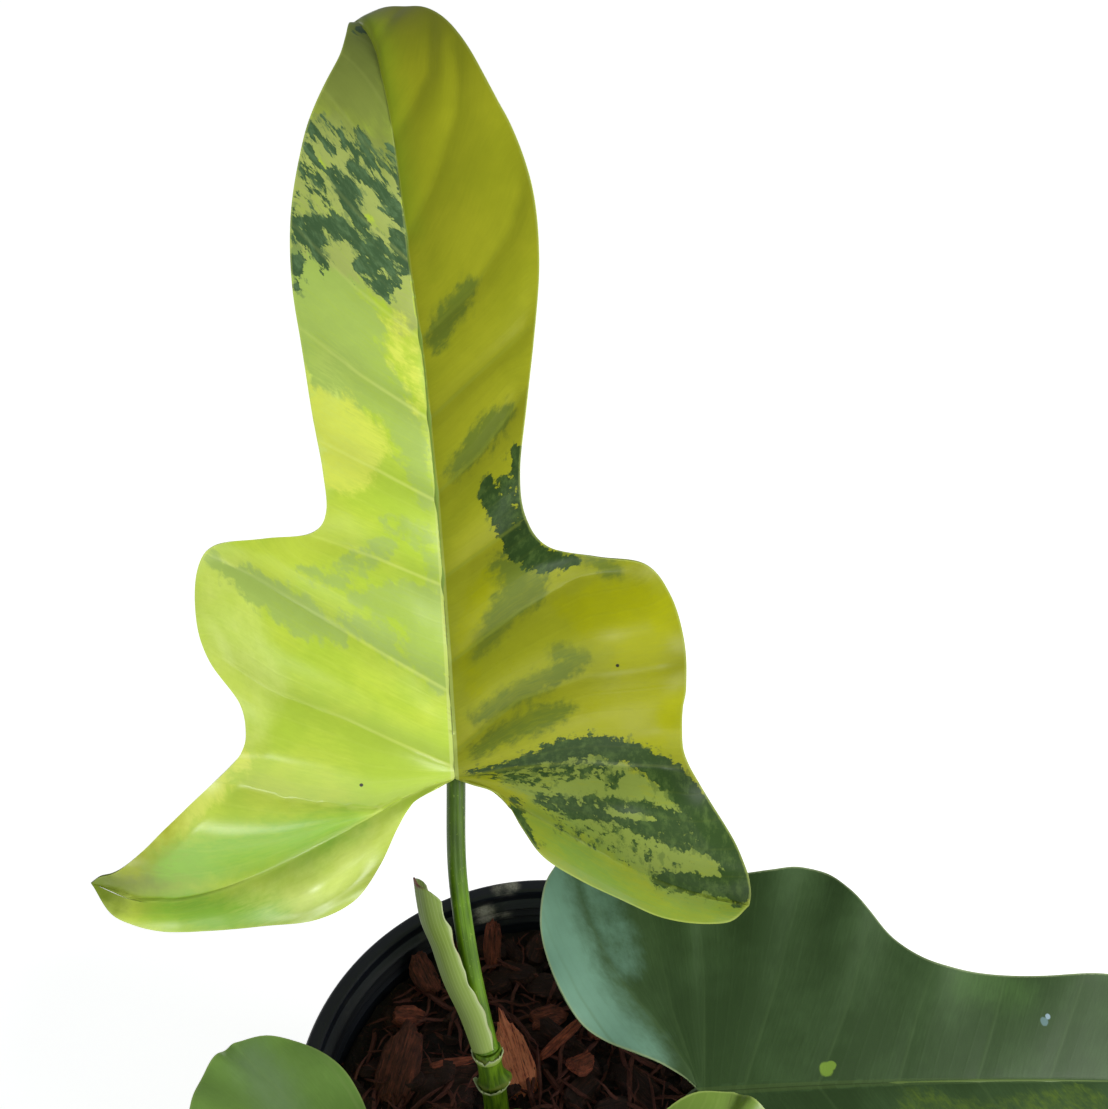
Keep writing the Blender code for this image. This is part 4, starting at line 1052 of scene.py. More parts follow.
# Bark pieces that stand out: length, width, thickness, middle, turn in degrees, tone from
# 0 (near black) to 1 (fresh orange), how far the end narrows to a point
BARK_PIECES = (
    ((37, 11, 5), (-9.6, 13.6, 126), (-6, -63, 122), 1.0, 0.8),
    ((27, 14, 5), (-46.0, 14.0, 120), (-12, -16, 76), 0.30, 0.3),
    ((12, 7, 4), (-44.5, 31.0, 120), (6, 12, 8), 0.5, 0.3),
    ((19, 6, 4), (-17.6, 55.0, 126), (8, -68, 86), 0.48, 0.2),
    ((17, 2.6, 2.6), (-28.6, 14.0, 121), (0, -3, 8), 0.58, 0.4),
    ((21, 3.4, 2.8), (6.4, 21.0, 124.5), (20, -26, 34), 0.62, 0.1),
    ((10, 7, 4), (12.0, 13.0, 121), (-14, 20, 40), 0.60, 0.3),
    ((15, 8, 5), (-41.0, 45.5, 123), (20, -48, 130), 0.35, 0.2),
    ((14, 8, 4), (2.0, 31.0, 119.5), (10, 14, 24), 0.44, 0.4),
    ((12, 6, 4), (17.0, 28.0, 119), (-12, 16, 100), 0.52, 0.4),
    ((16, 9, 4), (24.0, 46.0, 119), (10, -20, 60), 0.36, 0.2),
    ((18, 10, 5), (-30.0, -4.0, 118.5), (6, 10, 150), 0.34, 0.3),
)
CHIP_SHAPES = 7
FIBRE_SHAPES = 5
STEM_CLEARANCE = 8 * MM
CLEAR_SPOT = (-0.0121, -0.026, 0)        # a bare place in front of the stem


def bark_height(x, y):
    """Top of the bark bed: gently uneven, with pits between the chips."""
    coarse = 1.6 * MM * noise.noise(Vector((x, y, 0)) * 60)
    fine = 1.1 * MM * noise.noise(Vector((x, y, 0.2)) * 260)
    return BARK_LEVEL + coarse + fine


def make_bed(paint):
    """The body of the mix: it fills the pot, and carries the loose pieces."""
    bm = bmesh.new()
    clear_layer = bm.verts.layers.float.new("clear")
    grain_layer = bm.verts.layers.float_vector.new("grain")
    turns = [2 * math.pi * k / BED_SEGMENTS for k in range(BED_SEGMENTS)]
    low = FLOOR + 0.3 * MM
    edge = inner_wall(BARK_LEVEL) - 0.3 * MM
    foot = inner_wall(low) - 0.3 * MM

    def place_vert(x, y, z, clear):
        vert = bm.verts.new((x, y, z))
        vert[clear_layer] = clear
        vert[grain_layer] = vert.co
        return vert

    def clear_at(x, y):
        spots = [Vector(point).xy for point in (STEM_PATH[1], CLEAR_SPOT)]
        near = min((Vector((x, y)) - spot).length for spot in spots)
        return float(near > STEM_CLEARANCE and math.hypot(x, y) < edge - 5 * MM)

    rings = []
    for k in range(1, BED_RINGS + 1):
        radius = (edge - 0.6 * MM) * k / BED_RINGS
        ring = []
        for turn in turns:
            x, y = radius * math.cos(turn), radius * math.sin(turn)
            ring.append(place_vert(x, y, bark_height(x, y), clear_at(x, y)))
        rings.append(ring)
    for radius, height in ((edge, BARK_LEVEL - 1.5 * MM), (foot, low + 3 * MM),
                           (foot - 3 * MM, low)):
        rings.append([place_vert(radius * math.cos(turn), radius * math.sin(turn), height, 0)
                      for turn in turns])
    top = place_vert(0, 0, bark_height(0, 0), 1)
    bottom = place_vert(0, 0, low, 0)
    for k in range(BED_SEGMENTS):
        after = (k + 1) % BED_SEGMENTS
        bm.faces.new((top, rings[0][k], rings[0][after]))
        for inner, outer in zip(rings, rings[1:]):
            bm.faces.new((inner[k], outer[k], outer[after], inner[after]))
        bm.faces.new((bottom, rings[-1][after], rings[-1][k]))
    bmesh.ops.recalc_face_normals(bm, faces=bm.faces)
    mesh = mesh_from(bm, "bark_bed")
    mesh.shade_smooth()
    return add_object("bark_bed", mesh, paint)


def bark_plate(bm, rng, size, sides, levels, pointed):
    """One broken plate of bark about the origin, its length along X, split along its grain."""
    grain_layer = bm.verts.layers.float_vector["grain"]
    length, width, thickness = size
    knocks = [rng.uniform(0.80, 1.08) for _ in range(sides)]
    knocks = [(knocks[k] + 0.5 * knocks[k - 1]) / 1.5 for k in range(sides)]
    bend = rng.uniform(-0.5, 0.5) * thickness
    rings = []
    for level in range(levels):
        up = level / (levels - 1) - 0.5
        inset = 1 - 0.16 * (2 * abs(up))**3
        ring = []
        for k in range(sides):
            turn = 2 * math.pi * k / sides
            x = math.copysign(abs(math.cos(turn))**0.6, math.cos(turn))
            y = math.copysign(abs(math.sin(turn))**0.7, math.sin(turn))
            narrow = 1 - pointed * max(0, x)**1.3
            x *= knocks[k] * (1 + 0.10 * rng.uniform(-1, 1))
            y *= narrow * (1 + 0.10 * rng.uniform(-1, 1))
            z = up * thickness * (1 - 0.5 * pointed * max(0, x)) * rng.uniform(0.85, 1.1)
            vert = bm.verts.new((x * inset * length / 2, y * inset * width / 2, z + bend * x * x))
            ring.append(vert)
        rings.append(ring)
    join_rows(bm, rings)
    for ring, flip in ((rings[0], True), (rings[-1], False)):
        middle = bm.verts.new(sum((vert.co for vert in ring), Vector()) / sides
                              + Vector((0, 0, (-1 if flip else 1) * 0.06 * thickness)))
        for k in range(sides):
            pair = (ring[(k + 1) % sides], ring[k]) if flip else (ring[k], ring[(k + 1) % sides])
            bm.faces.new((*pair, middle))
        ring.append(middle)
    made = [vert for ring in rings for vert in ring]
    for vert in made:
        vert[grain_layer] = vert.co / MM
    return made


def fibre(bm, rng):
    """One loose bark fibre about the origin, gently crooked."""
    grain_layer = bm.verts.layers.float_vector["grain"]
    steps, sides = 9, 4
    bow, hook = rng.uniform(-0.3, 0.3), rng.uniform(-0.35, 0.35)
    length, radius = 20 * MM, 0.6 * MM
    rings = []
    for k in range(steps):
        t = k / (steps - 1) - 0.5
        place = Vector((t, bow * (0.25 - t * t) + rng.uniform(-0.01, 0.01),
                        hook * t * t + 0.05 * math.sin(9 * t))) * length
        thin = radius * (1 - abs(2 * t)**2.5) + 0.05 * MM
        turns = [2 * math.pi * j / sides for j in range(sides)]
        rings.append([bm.verts.new(place + Vector((0, thin * math.cos(turn),
                                                   thin * math.sin(turn)))) for turn in turns])
    join_rows(bm, rings, flip=True)
    bm.faces.new(rings[0])
    bm.faces.new(rings[-1][::-1])
    for ring in rings:
        for vert in ring:
            vert[grain_layer] = vert.co / MM


def strewing_tree(name, shapes, paint):
    """Copies of the shapes strewn over a ground, each with its own turn, size and tone."""
    tree = bpy.data.node_groups.new(name, "GeometryNodeTree")
    tree.interface.new_socket("Ground", in_out="INPUT", socket_type="NodeSocketGeometry")
    for label, kind in (("Spacing", "Float"), ("Density", "Float"), ("Smallest", "Float"),
                        ("Largest", "Float"), ("Lean", "Float"), ("Lift", "Float"),
                        ("Seed", "Int")):
        tree.interface.new_socket(label, in_out="INPUT", socket_type="NodeSocket" + kind)
    tree.interface.new_socket("Pieces", in_out="OUTPUT", socket_type="NodeSocketGeometry")

    def add(kind, settings, sockets):
        made = tree.nodes.new(kind)
        for key, value in settings.items():
            setattr(made, key, value)
        for key, value in sockets.items():
            if isinstance(value, bpy.types.NodeSocket):
                tree.links.new(value, made.inputs[key])
            else:
                made.inputs[key].default_value = value
        return made.outputs

    given = add("NodeGroupInput", {}, {})
    clear = add("GeometryNodeInputNamedAttribute", {"data_type": "FLOAT"}, {"Name": "clear"})
    points = add("GeometryNodeDistributePointsOnFaces", {"distribute_method": "POISSON"}, {
        "Mesh": given["Ground"], "Distance Min": given["Spacing"], "Density Max": given["Density"],
        "Density Factor": clear[0], "Seed": given["Seed"]})
    sink = add("ShaderNodeMath", {"operation": "MULTIPLY"}, {0: given["Lift"], 1: -0.5})
    low = add("ShaderNodeCombineXYZ", {}, {"Z": sink[0]})
    high = add("ShaderNodeCombineXYZ", {}, {"Z": given["Lift"]})
    shift = add("FunctionNodeRandomValue", {"data_type": "FLOAT_VECTOR"},
                {0: low[0], 1: high[0], "Seed": 1})
    lifted = add("GeometryNodeSetPosition", {},
                 {"Geometry": points["Points"], "Offset": shift[0]})
    back = add("ShaderNodeMath", {"operation": "MULTIPLY"}, {0: given["Lean"], 1: -1.0})
    least = add("ShaderNodeCombineXYZ", {}, {"X": back[0], "Y": back[0]})
    most = add("ShaderNodeCombineXYZ", {},
               {"X": given["Lean"], "Y": given["Lean"], "Z": 2 * math.pi})
    turn = add("FunctionNodeRandomValue", {"data_type": "FLOAT_VECTOR"},
               {0: least[0], 1: most[0], "Seed": 2})
    size = add("FunctionNodeRandomValue", {"data_type": "FLOAT"},
               {2: given["Smallest"], 3: given["Largest"], "Seed": 3})
    pick = add("FunctionNodeRandomValue", {"data_type": "INT"},
               {4: 0, 5: len(shapes.objects) - 1, "Seed": 4})
    kinds = add("GeometryNodeCollectionInfo", {},
                {"Collection": shapes, "Separate Children": True, "Reset Children": True})
    strewn = add("GeometryNodeInstanceOnPoints", {}, {
        "Points": lifted[0], "Instance": kinds[0], "Pick Instance": True,
        "Instance Index": pick[2], "Rotation": turn[0], "Scale": size[1]})
    tone = add("FunctionNodeRandomValue", {"data_type": "FLOAT"}, {2: 0.0, 3: 1.0, "Seed": 5})
    toned = add("GeometryNodeStoreNamedAttribute", {"data_type": "FLOAT", "domain": "INSTANCE"},
                {"Geometry": strewn[0], "Name": "tone", "Value": tone[1]})
    real = add("GeometryNodeRealizeInstances", {}, {"Geometry": toned[0]})
    painted = add("GeometryNodeSetMaterial", {}, {"Geometry": real[0], "Material": paint})
    add("NodeGroupOutput", {}, {"Pieces": painted[0]})
    return tree


def strew(name, ground, shapes, paint, sizes):
    """Strew shapes over the ground and keep the result as one plain mesh."""
    kept = bpy.data.collections.new(name + "_shapes")
    bpy.context.scene.collection.children.link(kept)
    for k, mesh in enumerate(shapes):
        kept.objects.link(bpy.data.objects.new("%s_%02d" % (name, k), mesh))
    tree = strewing_tree(name, kept, paint)
    pieces = add_object(name, ground.data.copy())
    modifier = pieces.modifiers.new("strew", "NODES")
    modifier.node_group = tree
    for socket in tree.interface.items_tree:
        if socket.name in sizes:
            modifier[socket.identifier] = sizes[socket.name]
    finish_mesh(pieces)
    for obj in list(kept.objects):
        bpy.data.objects.remove(obj)
    bpy.data.collections.remove(kept)
    return pieces


def shape_mesh(name, build):
    """A mesh with the attribute that carries the grain, filled by a building function."""
    bm = bmesh.new()
    bm.verts.layers.float_vector.new("grain")
    bm.verts.layers.float.new("tone")
    build(bm)
    return mesh_from(bm, name)


def make_bark(bed_paint, paint, fibre_paint):
    bed = make_bed(bed_paint)
    rng = random.Random(7)
    chips = [shape_mesh("chip", lambda bm: bark_plate(
        bm, rng, (rng.uniform(14, 20) * MM, rng.uniform(6, 10) * MM, rng.uniform(3, 5) * MM),
        11, 3, rng.choice((0.1, 0.3, 0.7)))) for _ in range(CHIP_SHAPES)]
    fibres = [shape_mesh("fibre", lambda bm: fibre(bm, rng)) for _ in range(FIBRE_SHAPES)]
    pieces = [
        strew("bark_chips", bed, chips, paint,
              {"Spacing": 7.5 * MM, "Density": 16000.0, "Smallest": 0.6, "Largest": 1.2,
               "Lean": 0.5, "Lift": 2.5 * MM, "Seed": 3}),
        strew("bark_crumbs", bed, chips, paint,
              {"Spacing": 2.6 * MM, "Density": 90000.0, "Smallest": 0.12, "Largest": 0.38,
               "Lean": 1.2, "Lift": 2.2 * MM, "Seed": 5}),
        strew("bark_fibres", bed, fibres, fibre_paint,
              {"Spacing": 2.6 * MM, "Density": 90000.0, "Smallest": 0.35, "Largest": 1.5,
               "Lean": 0.55, "Lift": 5.0 * MM, "Seed": 8}),
    ]

    def named_pieces(bm):
        tone_layer = bm.verts.layers.float["tone"]
        for size, place, turn, tone, pointed in BARK_PIECES:
            verts = bark_plate(bm, rng, [side * MM for side in size], 30, 7, pointed)
            matrix = Euler([math.radians(angle) for angle in turn]).to_matrix()
            bmesh.ops.rotate(bm, cent=(0, 0, 0), matrix=matrix, verts=verts)
            bmesh.ops.translate(bm, vec=mm(*place), verts=verts)
            for vert in verts:
                vert[tone_layer] = tone

    pieces.append(add_object("bark_large_pieces", shape_mesh("large", named_pieces), paint))
    for piece in [bed] + pieces:
        dress(piece, "bark", "bark_mix")


def ink(red, green, blue):
    """A colour read off the photograph, 0 to 255, as the shader takes it."""
    parts = [value / 255 for value in (red, green, blue)]
    return tuple(part / 12.92 if part <= 0.04045 else ((part + 0.055) / 1.055)**2.4
                 for part in parts) + (1.0,)


class Value:
    """A number that varies over a surface: an expression on it adds its Math nodes."""

    def __init__(self, paint, socket):
        self.paint = paint
        self.socket = socket

    def __add__(self, other):
        return self.paint.math("ADD", self, other)

    __radd__ = __add__

    def __sub__(self, other):
        return self.paint.math("SUBTRACT", self, other)

    def __rsub__(self, other):
        return self.paint.math("SUBTRACT", other, self)

    def __mul__(self, other):
        return self.paint.math("MULTIPLY", self, other)

    __rmul__ = __mul__

    def __truediv__(self, other):
        return self.paint.math("DIVIDE", self, other)


class Paint:
    """A procedural finish: one Principled shader and the nodes that feed it."""

    def __init__(self, name, **fixed):
        self.material = bpy.data.materials.new(name)
        self.material.use_nodes = True
        self.tree = self.material.node_tree
        self.shader = self.tree.nodes["Principled BSDF"]
        for key, value in fixed.items():
            self.shader.inputs[key.replace("_", " ")].default_value = value

    def node(self, kind, settings, sockets, output=0):
        made = self.tree.nodes.new(kind)
        for key, value in settings.items():
            if key == "stops":
                ramp = made.color_ramp
                while len(ramp.elements) < len(value):
                    ramp.elements.new(0.5)
                for element, (place, colour) in zip(ramp.elements, value):
                    element.position, element.color = place, colour
            else:
                setattr(made, key, value)
        for key, value in sockets.items():
            self.feed(made.inputs[key], value)
        return Value(self, made.outputs[output])

    def feed(self, socket, value):
        if isinstance(value, Value):
            self.tree.links.new(value.socket, socket)
        else:
            socket.default_value = value

    def set(self, **sockets):
        for key, value in sockets.items():
            self.feed(self.shader.inputs[key.replace("_", " ")], value)
        return self.material

    def math(self, operation, *terms):
        return self.node("ShaderNodeMath", {"operation": operation}, dict(enumerate(terms)))

    def attribute(self, name, output="Fac"):
        return self.node("ShaderNodeAttribute", {"attribute_name": name}, {}, output)

    def place(self):
        """Object coordinates."""
        return self.node("ShaderNodeTexCoord", {}, {}, "Object")

    def axis(self, vector, name):
        return self.node("ShaderNodeSeparateXYZ", {}, {0: vector}, name)

    def vector(self, x, y, z):
        return self.node("ShaderNodeCombineXYZ", {}, {0: x, 1: y, 2: z})

    def stretch(self, vector, factors):
        return self.node("ShaderNodeVectorMath", {"operation": "MULTIPLY"}, {0: vector, 1: factors})

    def noise(self, vector, detail, roughness=0.5):
        return self.node("ShaderNodeTexNoise", {}, {
            "Vector": vector, "Scale": 1.0, "Detail": detail, "Roughness": roughness})

    def local_noise(self, waves, detail, roughness=0.5):
        """Noise in the piece's own place, with so many waves a metre along X, Y and Z."""
        return self.noise(self.stretch(self.place(), waves), detail, roughness)

    def smooth(self, value, low, high):
        """0 below low, 1 above high, and a soft step between."""
        return self.node("ShaderNodeMapRange", {"interpolation_type": "SMOOTHSTEP"},
                         {0: value, 1: low, 2: high})

    def mix(self, share, first, second, blend="MIX"):
        return self.node("ShaderNodeMix", {"data_type": "RGBA", "blend_type": blend},
                         {0: share, 6: first, 7: second}, 2)

    def ramp(self, value, stops):
        return self.node("ShaderNodeValToRGB", {"stops": stops}, {0: value})

    def bump(self, height, strength=1.0):
        """Relief from a height in millimetres."""
        return self.node("ShaderNodeBump", {}, {
            "Strength": strength, "Distance": MM, "Height": height})


# Where lines and gloss fade on a blade: from and to, in millimetres
LINES_FADE = (90, 170)       # along it
VEINS_FADE = (6, 42)         # across it
MIDRIB_FADE = (20, 120)      # along it
GLOSS_FADE = (0, 26)         # along it
GLOSS_EDGE = (70, 90)        # across it
FACE_GLOSS = 0.08            # the coat of every upper face


class LeafPaint(Paint):
    """The finish of one side of a leaf, with what its colours and lines are made from."""

    def __init__(self, name, inks):
        super().__init__(name, Coat_Roughness=0.25, Specular_IOR_Level=inks["shine"])
        self.inks = inks
        self.vein, self.room, self.along, self.across, self.side = (
            self.attribute(key) for key in ("vein", "room", "along", "across", "side"))
        self.right = self.smooth(self.side, -0.5, 0.5)
        self.high = 1 - self.smooth(self.along, *LINES_FADE) * 0.85
        self.streak = self.noise(
            self.vector(self.vein * 34, self.across * 0.22, self.side * 5), 3.0, 0.6)
        self.clouds = self.noise(
            self.vector(self.along * 0.035, self.across * self.side * 0.035, self.side), 3.0, 0.55)

    def tint(self, key):
        """One of the leaf's colours; the right half may have its own darker copy, partly painted
        shade.
        """
        colour = ink(*self.inks[key])
        if key + "_right" in self.inks:
            colour = self.mix(self.right, colour, ink(*self.inks[key + "_right"]))
        return colour

    def marbled(self):
        """The ground colour and the markings on it, their edges torn along the veins."""
        colour = self.mix(self.smooth(self.clouds + self.streak * 0.25, 0.50, 0.78),
                          self.tint("base"), self.tint("base_2"))
        patches = 0.72 + 0.5 * self.smooth(self.streak * 0.5 + self.clouds * 0.5, 0.38, 0.62)
        for k, (field, (shift, soft)) in enumerate(FIELDS.items()):
            if field not in self.inks:
                continue
            torn = self.noise(self.vector(
                self.vein * (4.5 + 0.3 * k) * (1 + 0.7 * self.right),
                self.across * (0.21 + 0.12 * self.right), self.side * 7 + k), 8.0, 0.66)
            tone, own_depth = self.tint(field), self.attribute(field)
            if field == "dark":
                haze = self.noise(self.vector(
                    self.vein * 7, self.across * 0.34, self.side * 7 + 9), 8.0, 0.7)
                veil = self.smooth(own_depth + (haze - 0.5) * 24, 0.0, 1.6)
                colour = self.mix(veil * 0.5, colour, self.tint("dark_2"))
                tone = self.mix(self.smooth(haze * 0.7 + torn * 0.4, 0.52, 0.68),
                                tone, self.tint("dark_2"))
            else:
                soft = soft * (1 + 0.35 * self.right)
            depth = own_depth + (torn - 0.5) * (1 - 0.35 * self.right) * shift
            mask = self.smooth(depth, 0 - soft, soft)
            colour = self.mix(mask * patches if field in PATCHY else mask, colour, tone)
        return colour

    def small_lines(self):
        """The fine veins, five to each room between side veins."""
        off_line = self.math("PINGPONG", self.vein * 5, 0.5) * self.room / 5
        return (1 - self.smooth(off_line, 0.05, 0.5)) * self.high

    def veined(self, colour):
        """A colour with painted shade beside the side veins, where their creases lie, and pale
        lines on all veins.
        """
        off_vein = self.math("PINGPONG", self.vein, 0.5)
        # Painted shade beside the side veins
        if self.inks["painted_crease_shade"]:
            beside = (1 - self.smooth(off_vein, 0.03, 0.34)) * self.high
            colour = self.mix(1.0, colour, 1 - beside * self.inks["painted_crease_shade"], "MULTIPLY")
        line = ((1 - self.smooth(off_vein * self.room, 0.1, 0.8))
                * (1 - self.smooth(self.across, *VEINS_FADE) * 0.8) * self.high)
        share = self.inks["vein_share"]
        return self.mix(line * share + self.small_lines() * share * 0.12,
                        colour, self.tint("vein"))

    def ribbed(self, colour, line_share):
        """A colour with the pale midrib, the fine dark line on it, and the pale rim."""
        midrib, edge = self.attribute("midrib"), self.attribute("edge")
        pale = 1 - self.smooth(midrib, 0.82, 1.12)
        fading = 1 - self.smooth(self.along, *MIDRIB_FADE) * 0.7
        colour = self.mix(pale * fading * self.inks["midrib_share"], colour, self.tint("midrib"))
        if line_share:
            line = 1 - self.smooth(midrib, 0.04, 0.20)
            colour = self.mix(line * line_share, colour, self.tint("midrib_line"))
        rim = 1 - self.smooth(edge + (self.streak - 0.5) * 0.5, 0.15, 0.75)
        return self.mix(rim * self.inks["rim_share"], colour, self.tint("rim"))


def leaf_paint(name, inks, back, specks):
    """One side of a leaf: marbled colours, pale veins, midrib and rim, and single specks."""
    paint = LeafPaint(name, inks)
    fine = paint.noise(paint.vector(paint.vein * 110, paint.across * 0.9, paint.side), 2.0)
    mottle = paint.local_noise((260, 260, 260), 4.0, 0.6)
    texture = 0.86 + 0.08 * paint.streak + 0.05 * fine + 0.14 * mottle
    colour = paint.veined(paint.mix(1.0, paint.marbled(), texture, "MULTIPLY"))
    colour = paint.ribbed(colour, 0 if back else 0.75)
    for speck_along, speck_across, radius, tone in specks:
        gap_along = paint.along - speck_along
        gap_across = paint.across * paint.side - speck_across
        gap = paint.math("SQRT", gap_along * gap_along + gap_across * gap_across)
        gap = gap + (mottle - 0.5) * radius
        core = radius * (0.7 if radius < SMALL_SPECK else 0.05)
        colour = paint.mix(1 - paint.smooth(gap, core, radius), colour, ink(*tone))
    if back:
        colour = paint.mix(0.38, colour, paint.tint("back"))
    grain = paint.local_noise((900, 900, 900), 2.0)
    height = paint.small_lines() * 0.02 + fine * 0.015 + grain * 0.012 + mottle * 0.05
    rough = (0.52 if back else inks["rough"]) + (paint.clouds - 0.5) * 0.2 + (fine - 0.5) * 0.12
    gloss = 0.0 if back else FACE_GLOSS
    if inks["gloss"] and not back:
        gloss = ((1 - paint.right) * (1 - paint.smooth(paint.along, *GLOSS_FADE))
                 * (1 - 0.7 * paint.smooth(paint.across, *GLOSS_EDGE)) * inks["gloss"] + gloss)
    return paint.set(Base_Color=colour, Roughness=rough, Coat_Weight=gloss,
                     Normal=paint.bump(height, 0.6))


# top is a painted shadow of the blade on the stalk's upper part
STALK_INKS = {
    "light": {"body": ink(98, 138, 6), "shade": ink(68, 102, 2), "pale": ink(150, 178, 70),
              "top": ink(38, 58, 2)},
    "dark": {"body": ink(80, 112, 26), "shade": ink(58, 84, 24), "pale": ink(120, 144, 74),
             "top": ink(50, 76, 18)},
}


def stalk_paint(name, inks):
    """Smooth green skin with faint lengthwise streaks, darkened towards its pale end at the blade
    by a painted shadow of the blade.
    """
    paint = Paint(name, Coat_Roughness=0.3, Specular_IOR_Level=0.35)
    turn, height = paint.attribute("turn"), paint.attribute("height")
    streak = paint.noise(paint.vector(turn * 14, height * 3, 0.0), 3.0, 0.6)
    blotch = paint.noise(paint.vector(turn * 2, height * 9, 3.0), 3.0, 0.5)
    colour = paint.mix(paint.smooth(streak * 0.6 + blotch * 0.5, 0.42, 0.68),
                       inks["shade"], inks["body"])
    # Painted shadow of the blade, darkening the stalk towards its top
    colour = paint.mix(paint.smooth(height, 0.55, 0.8) * 0.55, colour, inks["top"])
    colour = paint.mix(paint.smooth(height, 0.98, 1.15) * 0.6, colour, inks["pale"])
    dots = paint.local_noise((1400, 1400, 600), 1.0)
    colour = paint.mix(paint.smooth(dots, 0.66, 0.74) * 0.35, colour, inks["pale"])
    return paint.set(Base_Color=colour, Roughness=0.38 + streak * 0.12, Coat_Weight=0.06,
                     Normal=paint.bump(streak * 0.05 + dots * 0.01, 0.7))


def stem_paint():
    """Green bark of a young climbing stem, brownish and corky at its rings."""
    paint = Paint("stem skin", Coat_Roughness=0.3, Specular_IOR_Level=0.2)
    turn, height = paint.attribute("turn"), paint.attribute("height")
    streak = paint.noise(paint.vector(turn * 9, height * 8, 0.0), 4.0, 0.6)
    colour = paint.mix(paint.smooth(streak, 0.36, 0.66), ink(58, 88, 4), ink(98, 132, 18))
    rough = 0.4 + streak * 0.15
    for ring, _, _ in STEM_RINGS:
        gap = paint.math("ABSOLUTE", height - ring + (streak - 0.5) * 0.02)
        band = 1 - paint.smooth(gap, 0.002, 0.016)
        colour = paint.mix(band * 0.55, colour, ink(120, 128, 50))
    foot = 1 - paint.smooth(height + (streak - 0.5) * 0.1, 0.42, 0.56)
    colour = paint.mix(foot * 0.8, colour, ink(64, 56, 30))
    return paint.set(Base_Color=colour, Roughness=rough, Coat_Weight=0.02,
                     Normal=paint.bump(streak * 0.2))


def sheath_paint():
    """Thin pale bract: green and veined, translucent-looking margins, a dried brown tip, with
    painted shade on one side of its fold and painted light towards its foot.
    """
    paint = Paint("sheath skin", Coat_Roughness=0.3)
    across, height = paint.attribute("across"), paint.attribute("height")
    lines = paint.math("PINGPONG", across * 9, 0.5) * 2
    streak = paint.noise(paint.vector(across * 12, height * 2.5, 0.0), 4.0, 0.6)
    # Painted shade: darker on one side of the fold, broken by streaks
    colour = paint.mix(paint.smooth(streak * 0.5 + across * 0.5, 0.0, 0.75),
                       ink(76, 94, 20), ink(122, 146, 54))
    # Painted light: paler towards the foot, where the leaves shade it
    colour = paint.mix((1 - paint.smooth(height, 0.1, 0.75)) * 0.5, colour, ink(160, 184, 96))
    colour = paint.mix((1 - paint.smooth(lines, 0.0, 0.5)) * 0.12, colour, ink(200, 214, 150))
    reach = paint.math("ABSOLUTE", across)
    margin = paint.smooth(reach + (streak - 0.5) * 0.15, 0.88, 0.99)
    colour = paint.mix(margin * 0.6, colour, ink(196, 206, 164))
    tip = paint.smooth(height + (streak - 0.5) * 0.03 - reach * 0.08, 0.955, 0.985)
    colour = paint.mix(tip, colour, ink(96, 56, 44))
    browned = paint.smooth(reach, 0.955, 0.995) * paint.smooth(streak, 0.5, 0.6)
    colour = paint.mix(browned * 0.6, colour, ink(150, 124, 84))
    return paint.set(Base_Color=colour, Roughness=0.42 + streak * 0.15, Coat_Weight=0.06,
                     Normal=paint.bump(lines * 0.02 + streak * 0.06))


BARK_TONES = ((0.0, ink(48, 26, 21)), (0.3, ink(98, 52, 39)), (0.55, ink(146, 76, 56)),
              (0.8, ink(208, 110, 80)), (1.0, ink(255, 156, 114)))


def bark_paint(name, darkness):
    """Split pine bark: dark skins, red-brown flesh, grain and cracks along each piece."""
    paint = Paint(name)
    grain, tone = paint.attribute("grain", "Vector"), paint.attribute("tone")
    own = paint.vector(tone * 37, tone * 91, tone * 53)
    local = paint.node("ShaderNodeVectorMath", {"operation": "ADD"}, {0: grain, 1: own})
    fibres = paint.noise(paint.stretch(local, (0.12, 1.6, 1.6)), 5.0, 0.65)
    flakes = paint.noise(paint.stretch(local, (0.30, 0.45, 0.6)), 4.0, 0.6)
    pores = paint.noise(paint.stretch(local, (2.2, 3.0, 3.0)), 3.0, 0.6)
    shade = tone * (1 - darkness) + (fibres - 0.5) * 1.0 + (flakes - 0.5) * 0.7
    colour = paint.ramp(shade, BARK_TONES)
    cracks = 1 - paint.smooth(fibres, 0.30, 0.44)
    colour = paint.mix(cracks * 0.7, colour, ink(34, 20, 15))
    dust = paint.smooth(pores + flakes * 0.4, 0.78, 0.95)
    colour = paint.mix(dust * 0.25, colour, ink(164, 110, 96))
    return paint.set(Base_Color=colour, Roughness=0.78 + (pores - 0.5) * 0.25,
                     Normal=paint.bump(fibres * 1.1 + pores * 0.35 + flakes * 0.5))


def bed_paint():
    """Fine dark crumbs and wet dust between the pieces of bark, near black partly as painted shade
    in the gaps.
    """
    paint = Paint("fine bark")
    crumbs = paint.local_noise((700, 700, 700), 5.0, 0.7)
    damp = paint.local_noise((60, 60, 60), 2.0)
    # The near-black end is partly the crumbs' own colour and partly painted shade between the chips
    colour = paint.ramp(crumbs + (damp - 0.5) * 0.3,
                        ((0.30, ink(8, 6, 5)), (0.54, ink(34, 20, 15)), (0.74, ink(96, 54, 40))))
    return paint.set(Base_Color=colour, Roughness=0.85 - damp * 0.2,
                     Normal=paint.bump(crumbs * 1.6))


def fibre_paint():
    paint = Paint("bark fibre")
    tone = paint.attribute("tone")
    grain = paint.attribute("grain", "Vector")
    along = paint.noise(paint.stretch(grain, (0.5, 3, 3)), 2.0)
    colour = paint.ramp(tone * 0.8 + along * 0.3, (
        (0.1, ink(74, 38, 32)), (0.4, ink(156, 86, 70)), (0.7, ink(214, 138, 118)),
        (1.0, ink(244, 200, 182))))
    return paint.set(Base_Color=colour, Roughness=0.8, Normal=paint.bump(along * 0.15))


